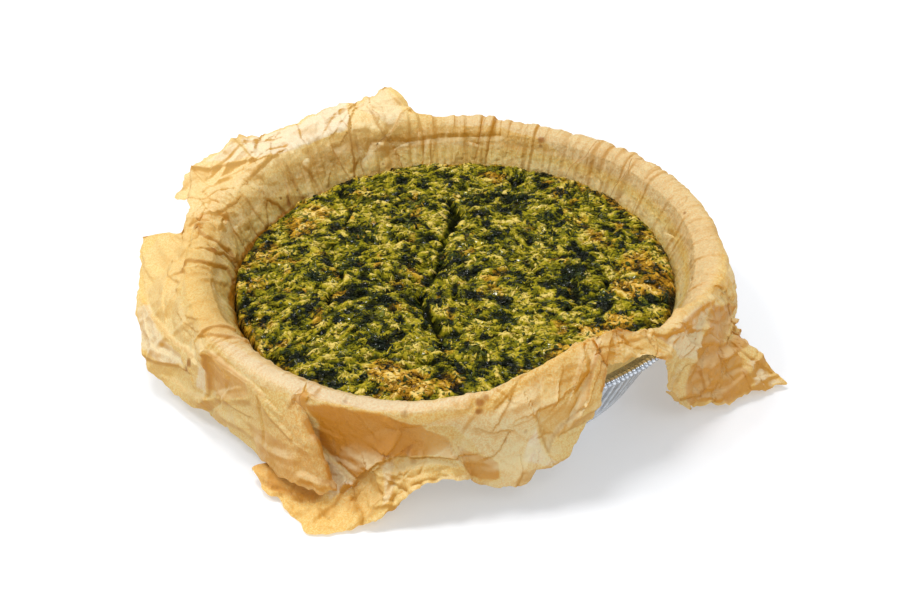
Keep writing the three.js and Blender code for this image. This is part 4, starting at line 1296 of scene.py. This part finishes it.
TOP_SINK = 0.2
radius = np.hypot(plan_x, plan_y)
gaps = ramp(np.abs(lumps(bent(plan, 5, 2.0, 181), 9, 184)), 0.10, 0.0)
gaps *= ramp(lumps(plan, 14, 187), -0.3, 0.3)
burnt_edge = ramp(radius + lumps(plan, 11, 101) * 6, 89, 99) * 0.8
bits = ramp(lumps(bent(plan, 5, 2, 171), 4.5, 174) + 0.5 * lumps(plan, 12, 175), 0.35, 0.8) * 0.6
browned = np.maximum(np.maximum(share_of(BROWNED, 103), burnt_edge), bits)
leafy = np.maximum(share_of(LEAFY, 113), ramp(clump - 0.4 * broad_streak, 0.9, 2.2) * 0.8)
leafy *= 1 - 0.6 * browned
tone = 0.535 - 0.11 * clump + 0.13 * broad_streak + 0.125 * thin_streak + 0.05 * speckle
# The last term darkens the very edge, as painted shade where the food meets the paper.
tone += -0.28 * leafy + 0.10 * lips + 0.05 * browned - 0.25 * ramp(radius, 95.5, 98)
# Darker in cracks and gaps, partly painted shade and partly the dark leaf there.
tone += -0.5 * np.clip(crack / 1.6, 0, 1) - 0.34 * gaps
inner = ramp(radius, 98.5, 89)
relief = lumps(plan, 17, 91) * 0.9 * inner + clump * 0.38 + broad_streak * 0.34 + thin_streak * 0.34
relief += speckle * 0.08 + lips * 0.7 - crack - 1.1 * gaps - leafy * 0.3
relief -= 2.6 * ramp(radius, 95.6, 98.6) ** 2
shrunk = ramp(radius + lumps(plan, 9, 191) * 0.8, 95.6, 97.4) * ramp(-plan_x, 35, 75)
relief -= 4.5 * shrunk
# The gap at the left is painted darker, as shade.
tone -= 0.5 * shrunk
height_table = as_table(look_up(broad, plan_x, plan_y, STEP * 2) + relief - TOP_SINK)
tone_table, browned_table = as_table(np.clip(tone, 0, 1)), as_table(browned)
leafy_table, crack_table, swirl_table = as_table(leafy), as_table(crack), as_table(swirl)
print("tone %.2f to %.2f" % (tone.min(), tone.max()))

# %% [markdown]
# The body of the food is a square grid pulled into a disc, so that its faces stay about the same size,
# with sides extruded down along the liner and a flat bottom.

# %% The body of the food
GRID = 300
FOOD_SIDE = ((22, 94.8), (12, 89.6), (5, 85.6))  # height and reach
FOOD_FOOT = 79.0


def food_body():
    """The food as one closed mesh: a fine top, plain sides and a bottom."""
    cake = bmesh.new()
    bmesh.ops.create_grid(cake, x_segments=GRID, y_segments=GRID, size=1.0)
    for vertex in cake.verts:
        x, y = vertex.co.x, vertex.co.y
        vertex.co.x = x * math.sqrt(1 - y * y / 2) * EDGE * MM
        vertex.co.y = y * math.sqrt(1 - x * x / 2) * EDGE * MM
    rim = [e for e in cake.edges if e.is_boundary]
    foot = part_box("quiche")[0].z / MM
    for height, reach in (*FOOD_SIDE, (foot, FOOD_FOOT)):
        grown = bmesh.ops.extrude_edge_only(cake, edges=rim)["geom"]
        rim = [g for g in grown if isinstance(g, bmesh.types.BMEdge)]
        for vertex in {v for e in rim for v in e.verts}:
            scale = reach * MM / math.hypot(vertex.co.x, vertex.co.y)
            vertex.co = (vertex.co.x * scale, vertex.co.y * scale, height * MM)
    bmesh.ops.contextual_create(cake, geom=rim)
    bmesh.ops.recalc_face_normals(cake, faces=cake.faces)
    mesh = finished(cake, "food")
    points = mesh_points(mesh)
    top = np.abs(points[:, 2]) < 1e-7
    points[top, 2] = look_up(height_table, points[top, 0] / MM, points[top, 1] / MM) * MM
    put_points(mesh, points)
    smooth(mesh)
    return mesh


food = food_body()
food_x, food_y = mesh_points(food)[:, 0] / MM, mesh_points(food)[:, 1] / MM
for name, table in (("tone", tone_table), ("browned", browned_table), ("leafy", leafy_table)):
    paint(food, name, look_up(table, food_x, food_y))
print("food: %d faces" % len(food.polygons))

# %% [markdown]
# ## The food's material
# Egg, green juice and leaf are all one mixture, so one run of colours serves for the body and for the
# bits: almost black where wet leaf shows, olive and then yellow where egg covers it, and cream on the
# highest ridges. A second run, from dark brown to gold, takes over where the oven caught it.

# %% Colours of the food
GREENS = [(0.0, (0.005, 0.006, 0.001)), (0.24, (0.026, 0.029, 0.002)), (0.42, (0.110, 0.108, 0.004)),
          (0.58, (0.262, 0.230, 0.007)), (0.76, (0.465, 0.362, 0.020)), (1.0, (0.80, 0.62, 0.16))]
BROWNS = [(0.0, (0.012, 0.006, 0.001)), (0.3, (0.10, 0.050, 0.004)), (0.55, (0.40, 0.200, 0.010)),
          (0.78, (0.68, 0.38, 0.035)), (1.0, (0.88, 0.66, 0.22))]
LEAVES = [(0.0, (0.001, 0.003, 0.001)), (0.5, (0.008, 0.016, 0.002)), (0.8, (0.045, 0.060, 0.003)),
          (1.0, (0.15, 0.16, 0.008))]


def make_food(name, spread, dull, shine):
    """The mixture's material: spread of fine colour, roughness where dry, and strength of its shine."""
    material, tree, shader, place = start_material(name)
    grain = noise(place, 1100, 4.0, 0.62, 0.4)
    fibres = noise(place, 2600, 2.0, 0.5)
    tone = painted(place, "tone") + (grain - 0.5) * spread + (fibres - 0.5) * spread * 0.5
    green = tone.node("ShaderNodeValToRGB", {0: tone}, stops=GREENS)
    brown = tone.node("ShaderNodeValToRGB", {0: tone}, stops=BROWNS)
    patchy = noise(place, 330, 3.0, 0.6)
    toasted = (painted(place, "browned") + (patchy - 0.5) * 1.6).between(0.15, 0.85)
    colour = toasted.blend(green, brown)
    wet = noise(place, 240, 2.0, 0.5).between(0.45, 0.62)
    rough = dull - wet * 0.2 + (grain - 0.5) * 0.2
    glint = noise(place, 420, 2.0, 0.5).between(0.57, 0.64)
    feed(tree, shader, Base_Color=colour, Roughness=rough, Specular_IOR_Level=shine, Coat_Weight=glint,
         Coat_Roughness=0.12, Normal=bump(grain + fibres * 0.4, 0.8, 0.0007))
    return material


def make_leaf():
    """Whole bits of wet leaf, nearly black and with small bright glints."""
    material, tree, shader, place = start_material("wet_leaf")
    grain = noise(place, 900, 3.0, 0.6)
    tone = painted(place, "tone") + (grain - 0.5) * 0.3
    colour = tone.node("ShaderNodeValToRGB", {0: tone}, stops=LEAVES)
    glint = noise(place, 520, 2.0, 0.5).between(0.55, 0.62)
    feed(tree, shader, Base_Color=colour, Roughness=0.14 + grain * 0.35, Specular_IOR_Level=0.16,
         Coat_Weight=glint, Coat_Roughness=0.12, Normal=bump(grain, 1.0, 0.0008))
    return material


mixture = make_food("baked_mixture", 0.60, 0.60, 0.06)
show("quiche_body", food, mixture, "quiche")

# %% [markdown]
# ## Shreds
# The top shows thousands of chopped bits, each a few millimetres long. Three patterns are modelled
# once, with few faces: a shred, a leaf and a bit. They are laid thousands of times, each bent, turned
# and sunk its own way. Each takes its tone from the table where it lies, so it belongs to the mat and
# doesn't look strewn.

# %% One shred, one leaf and one bit
SHRED_STEP = 0.27
TIP = 1.85  # the tips lie this much farther out than the last ring


def faceted(work, name):
    """A small pattern finished as triangles that all face outwards."""
    bmesh.ops.recalc_face_normals(work, faces=work.faces)
    bmesh.ops.triangulate(work, faces=work.faces)
    return finished(work, name)


def pointed_shred():
    """A thin sliver, one unit long and wide, with both ends drawn to a point."""
    work = bmesh.new()
    ring = bmesh.ops.create_circle(work, segments=4, radius=0.5, cap_ends=False)["verts"]
    bmesh.ops.rotate(work, verts=ring, matrix=Matrix.Rotation(math.pi / 2, 3, "Y"))
    bmesh.ops.translate(work, verts=ring, vec=(-SHRED_STEP, 0, 0))
    edges = list(work.edges)
    for _ in range(2):
        grown = bmesh.ops.extrude_edge_only(work, edges=edges)["geom"]
        edges = [g for g in grown if isinstance(g, bmesh.types.BMEdge)]
        corners = [g for g in grown if isinstance(g, bmesh.types.BMVert)]
        bmesh.ops.translate(work, verts=corners, vec=(SHRED_STEP, 0, 0))
    for x in (-SHRED_STEP, SHRED_STEP):
        tip = work.verts.new((x * TIP, 0, 0))
        for edge in [e for e in work.edges if e.is_boundary and abs(e.verts[0].co.x - x) < 0.01]:
            work.faces.new((*edge.verts, tip))
    return faceted(work, "shred")


def torn_leaf():
    """A thin flake, one unit long and wide, with a rounded outline."""
    work = bmesh.new()
    bmesh.ops.create_grid(work, x_segments=4, y_segments=2, size=0.5)
    for vertex in work.verts:
        x, y = vertex.co.x * 2, vertex.co.y * 2
        vertex.co.x = x * math.sqrt(1 - y * y * 0.42) / 2
        vertex.co.y = y * math.sqrt(1 - x * x * 0.62) / 2
    bmesh.ops.solidify(work, geom=work.faces[:], thickness=0.12)
    return faceted(work, "leaf")


def chopped_bit():
    """A chip of leaf, one unit long and wide, with six corners and sharp edges."""
    work = bmesh.new()
    bmesh.ops.create_circle(work, segments=6, radius=0.5, cap_ends=True)
    bmesh.ops.solidify(work, geom=work.faces[:], thickness=0.10)
    return faceted(work, "bit")


# %% Laying many of them
TRIES = 6  # places drawn for each copy that is wanted
EDGE_MARGIN = 0.8
OPEN_CRACK = 0.8
SPREADS = {"length": 0.38, "width": 0.32, "heading": 0.75, "tone": 0.13}
BEND, RAGGED = 0.22, 0.16
ROLL, PITCH, WAVE = 0.20, 0.10, 0.12
GROUND_SHARE, LEVEL_SHARE = 0.55, 0.45
DEEPEST, HIGHEST = 0.5, 1.3


def lay(name, pattern, material, seed, count, chance, size, sink, shift):
    """Lay copies of a pattern over the food where chance allows, joined as one piece.

    Size is length, width and thickness, sink is how high they lie, and shift changes their tone.
    """
    length, width, thick = size
    draw = np.random.default_rng(seed)
    reach = (EDGE - EDGE_MARGIN) * np.sqrt(draw.random(count * TRIES))
    turn = draw.random(count * TRIES) * 2 * math.pi
    x, y = reach * np.cos(turn), reach * np.sin(turn)
    wanted = (draw.random(count * TRIES) < chance(x, y)) & (look_up(crack_table, x, y) < OPEN_CRACK)
    kept = np.flatnonzero(wanted)[:count]
    x, y, number = x[kept], y[kept], len(kept)
    lengths = np.exp(draw.normal(math.log(length), SPREADS["length"], number))
    widths = np.exp(draw.normal(math.log(width), SPREADS["width"], number))
    heading = look_up(swirl_table, x, y) + draw.normal(0, SPREADS["heading"], number)
    shape = mesh_points(pattern)
    corners = np.array([tuple(p.vertices) for p in pattern.polygons])
    along = shape[None, :, 0] * lengths[:, None]
    side = shape[None, :, 1] * widths[:, None]
    side = side + draw.normal(0, BEND, (number, 1)) * along * along / lengths[:, None]
    side = side + draw.normal(0, RAGGED, (number, len(shape))) * widths[:, None] * 0.6
    crown = shape[None, :, 2] * thick + np.tan(draw.normal(0, ROLL, (number, 1))) * side
    crown = crown + np.tan(draw.normal(0, PITCH, (number, 1))) * along
    wave = WAVE * np.sin(along * 2.2 + draw.random((number, 1)) * 6.3)
    crown = crown + wave * np.minimum(lengths, 4)[:, None] / 2
    cosine, sine = np.cos(heading)[:, None], np.sin(heading)[:, None]
    px = x[:, None] + along * cosine - side * sine
    py = y[:, None] + along * sine + side * cosine
    over = np.maximum(1, np.hypot(px, py) / (EDGE - 0.2))
    px, py = px / over, py / over
    ground = look_up(height_table, px.ravel(), py.ravel()).reshape(px.shape)
    level = look_up(height_table, x, y)[:, None]
    pz = GROUND_SHARE * ground + LEVEL_SHARE * level + crown + draw.uniform(*sink, number)[:, None]
    pz = np.clip(pz, ground - DEEPEST, ground + HIGHEST)
    points = np.stack([px, py, pz], axis=2).reshape(-1, 3) * MM
    faces = (corners[None] + (np.arange(number) * len(shape))[:, None, None]).reshape(-1, 3)
    mesh = bpy.data.meshes.new(name)
    mesh.from_pydata(points.tolist(), [], faces.tolist())
    smooth(mesh)
    tones = look_up(tone_table, x, y) + shift + draw.normal(0, SPREADS["tone"], number)
    paint(mesh, "tone", np.repeat(np.clip(tones, 0, 1), len(shape)))
    paint(mesh, "browned", np.repeat(look_up(browned_table, x, y), len(shape)))
    return show(name, mesh, material)


shred, leaf, bit = pointed_shred(), torn_leaf(), chopped_bit()
fine_mixture = make_food("shredded_mixture", 0.34, 0.50, 0.10)
lay("long_shreds", shred, fine_mixture, seed=31, count=6000, size=(3.2, 0.66, 0.48),
    chance=lambda x, y: 0.9 - 0.75 * look_up(leafy_table, x, y), sink=(-0.15, 0.12), shift=0.05)
lay("short_shreds", shred, fine_mixture, seed=32, count=7800, size=(1.9, 0.80, 0.45),
    chance=lambda x, y: 0.8 + 0 * x, sink=(-0.2, 0.12), shift=-0.02)
lay("leaf_flakes", leaf, fine_mixture, seed=33, count=3400, size=(3.2, 1.9, 1.6),
    chance=lambda x, y: 0.7 - 0.3 * look_up(browned_table, x, y), sink=(-0.3, 0.05), shift=-0.12)
lay("wet_leaves", leaf, make_leaf(), seed=34, count=2100, size=(3.0, 1.7, 1.4),
    chance=lambda x, y: 0.03 + 1.3 * look_up(leafy_table, x, y) ** 1.5, sink=(-0.2, 0.2), shift=0.1)
lay("chopped_bits", bit, make_leaf(), seed=35, count=7500, size=(1.9, 0.75, 1.0),
    chance=lambda x, y: 0.25 + 0.9 * look_up(leafy_table, x, y), sink=(0.0, 0.3), shift=0.12)
for used in (shred, leaf, bit):
    bpy.data.meshes.remove(used)

# %% [markdown]
# ## The tin
# A foil tin is pressed from one thin disc. Its wall gathers into fine ribs, because the foil has to
# shrink round the foot, and its rim is rolled into a bead that is crimped every two millimetres or so.
# A profile is spun round the axis, and the ribs and crimps are then pressed into the spun wall. The
# grooves between them are painted, so that the material can be darker there: painted shade in them.

# %% Press the tin
TIN_STEPS = 1308
CRIMPS = 327
RIBS = 118
RIB_DEPTH = 0.8
TIN_BEAD, BEAD_RADIUS = (112.8, 44.2), 1.75
OUTSIDE_BASE = [(0.0, 0.05), (60, 0.05), (83.5, 0.05), (85.6, 0.5), (86.9, 1.6), (87.9, 3.8)]
INSIDE_BASE = [(86.6, 2.0), (85.4, 0.9), (83.4, 0.45), (60, 0.45), (0.0, 0.45)]
OUTSIDE_TOP = (108.3, 43.6)
INSIDE_WALL_ENDS = ((87.6, 4.0), (108.2, 44.6))
BEAD_STARTS, BEAD_ENDS = 110.6, 111.6


def straight(foot, top, shares):
    """Points of a straight wall from its foot to its top, at the given shares of the way."""
    flare, rise = top[0] - foot[0], top[1] - foot[1]
    return [(foot[0] + share * flare, foot[1] + share * rise) for share in shares]


def tin_profile():
    """The outer line of the tin from the axis to the bead, then back inside, in millimetres."""
    outside = straight(OUTSIDE_BASE[-1], OUTSIDE_TOP, np.linspace(0.12, 1, 8))
    middle, height = TIN_BEAD
    bead = [(middle + BEAD_RADIUS * math.cos(turn), height + BEAD_RADIUS * math.sin(turn))
            for turn in np.radians(np.linspace(-150, 195, 12))]
    inside = straight(*INSIDE_WALL_ENDS, np.linspace(1, 0.12, 8))
    return OUTSIDE_BASE + outside + bead + inside + INSIDE_BASE


def pressed_tin():
    """The tin as one closed mesh, ribbed and crimped."""
    work = bmesh.new()
    line = [work.verts.new((r * MM, 0, z * MM)) for r, z in tin_profile()]
    edges = [work.edges.new(pair) for pair in zip(line[:-1], line[1:])]
    bmesh.ops.spin(work, geom=line + edges, axis=(0, 0, 1), cent=(0, 0, 0), angle=2 * math.pi,
                   steps=TIN_STEPS, use_merge=True)
    bmesh.ops.remove_doubles(work, verts=work.verts, dist=0.001 * MM)
    bmesh.ops.recalc_face_normals(work, faces=work.faces)
    mesh = finished(work, "tin")
    points = mesh_points(mesh)
    reach = np.hypot(points[:, 0], points[:, 1]) / MM
    height = points[:, 2] / MM
    angle = np.arctan2(points[:, 1], points[:, 0])
    ring = np.stack([np.cos(angle) * 60, np.sin(angle) * 60, height * 0.12], axis=1)
    wall = ramp(height, 3, 9) * ramp(height, 43.5, 41)
    phase = angle * RIBS + 2.2 * lumps(ring, 9, 141) + height * 0.06
    ribs = 0.5 - np.abs(np.sin(phase / 2)) * (0.9 + 0.5 * lumps(ring, 7, 144))
    ribs += lumps(np.stack([angle * RIM_RADIUS, height * 0.3, height * 0], axis=1), 2, 142) * 0.2
    crimp = np.sign(np.sin(angle * CRIMPS)) * np.abs(np.sin(angle * CRIMPS)) ** 0.6
    on_bead = ramp(reach, BEAD_STARTS, BEAD_ENDS) * ramp(height, 41.5, 42.6)
    deep = 0.42 + 0.15 * lumps(ring, 2.2, 143)
    moved = reach + ribs * wall * RIB_DEPTH - (0.35 - crimp * deep) * on_bead
    lift = (crimp * deep * 0.8 - 0.25) * on_bead * np.sign(height - TIN_BEAD[1])
    points[:, :2] *= (moved / np.maximum(reach, 1e-6))[:, None]
    points[:, 2] += lift * MM
    put_points(mesh, points)
    smooth(mesh)
    # Painted shade in the grooves between the ribs and between the crimps.
    paint(mesh, "groove", ramp(ribs, 0.0, -0.45) * wall + ramp(crimp, 0.3, -0.5) * on_bead)
    return mesh


# The groove colour is painted shade.
DULL_FOIL, BRIGHT_FOIL, GROOVE_SHADE = (0.56, 0.61, 0.68, 1), (0.84, 0.89, 0.95, 1), (0.16, 0.175, 0.20, 1)


def make_foil():
    """Bright foil with rolled lines and soft scuffs, with painted shade in its grooves."""
    material, tree, shader, place = start_material("pressed_foil")
    scuffs = noise(place, 300, 4.0, 0.6)
    rolled = place.node("ShaderNodeMapping", {"Vector": place, "Scale": (1.0, 0.06, 0.3)})
    lines = noise(rolled, 2200, 2.0, 0.5)
    colour = scuffs.between(0.3, 0.7).blend(DULL_FOIL, BRIGHT_FOIL)
    # Painted shade in the grooves.
    colour = (painted(place, "groove") * 0.75).blend(colour, GROOVE_SHADE)
    rough = scuffs.between(0.3, 0.7) * 0.12 + 0.16
    feed(tree, shader, Base_Color=colour, Metallic=1.0, Roughness=rough,
         Normal=bump(lines * 0.4 + scuffs, 0.3, 0.0003))
    return material


show("foil_dish", pressed_tin(), make_foil(), "foil_tin")

# %% [markdown]
# ## Table and light
# The picture has a plain white table under soft light from above and from the left, so the paper at
# the left glows and soft shadows fall to the right and towards the camera. A large lamp hangs over the
# food, another stands high at the left, and a weak one fills the front. A bright even surround keeps
# the shadows pale, and the table gives off a little light of its own, so that it stays white.

# %% Table and light
TABLE_SIZE, TABLE_WHITE = 4.0, (0.64, 0.655, 0.68, 1)
LAMPS = (  # name, place, size and power
    ("top", (-0.3, 0.4, 3.0), 0.9, 38.0),
    ("fill", (0.6, -1.6, 2.2), 1.2, 11.0),
    ("key", (-1.62, 0.14, 2.50), 0.8, 29.0),
)
SURROUND = 0.56


def white_table():
    """A large plain table, which isn't part of the object."""
    work = bmesh.new()
    bmesh.ops.create_grid(work, x_segments=1, y_segments=1, size=TABLE_SIZE)
    mesh = finished(work, "table")
    material, tree, shader, _ = start_material("white_table")
    feed(tree, shader, Base_Color=TABLE_WHITE, Roughness=0.6, Emission_Color=(1, 1, 1, 1),
         Emission_Strength=0.30)
    floor = bpy.data.objects.new("table", mesh)
    mesh.materials.append(material)
    bpy.context.scene.collection.objects.link(floor)


def lamp(name, place, size, power):
    """A round soft lamp that points at the food."""
    light = bpy.data.lights.new(name, "AREA")
    light.shape = "DISK"
    light.size = size
    light.energy = power
    holder = bpy.data.objects.new(name, light)
    holder.location = place
    holder.rotation_euler = (aim - Vector(place)).to_track_quat("-Z", "Y").to_euler()
    bpy.context.scene.collection.objects.link(holder)


white_table()
for described in LAMPS:
    lamp(*described)
surround = bpy.data.worlds.new("surround")
surround.use_nodes = True
background = surround.node_tree.nodes["Background"]
background.inputs["Color"].default_value = (1, 1, 1, 1)
background.inputs["Strength"].default_value = SURROUND
bpy.context.scene.world = surround
bpy.context.scene.view_settings.view_transform = "Standard"
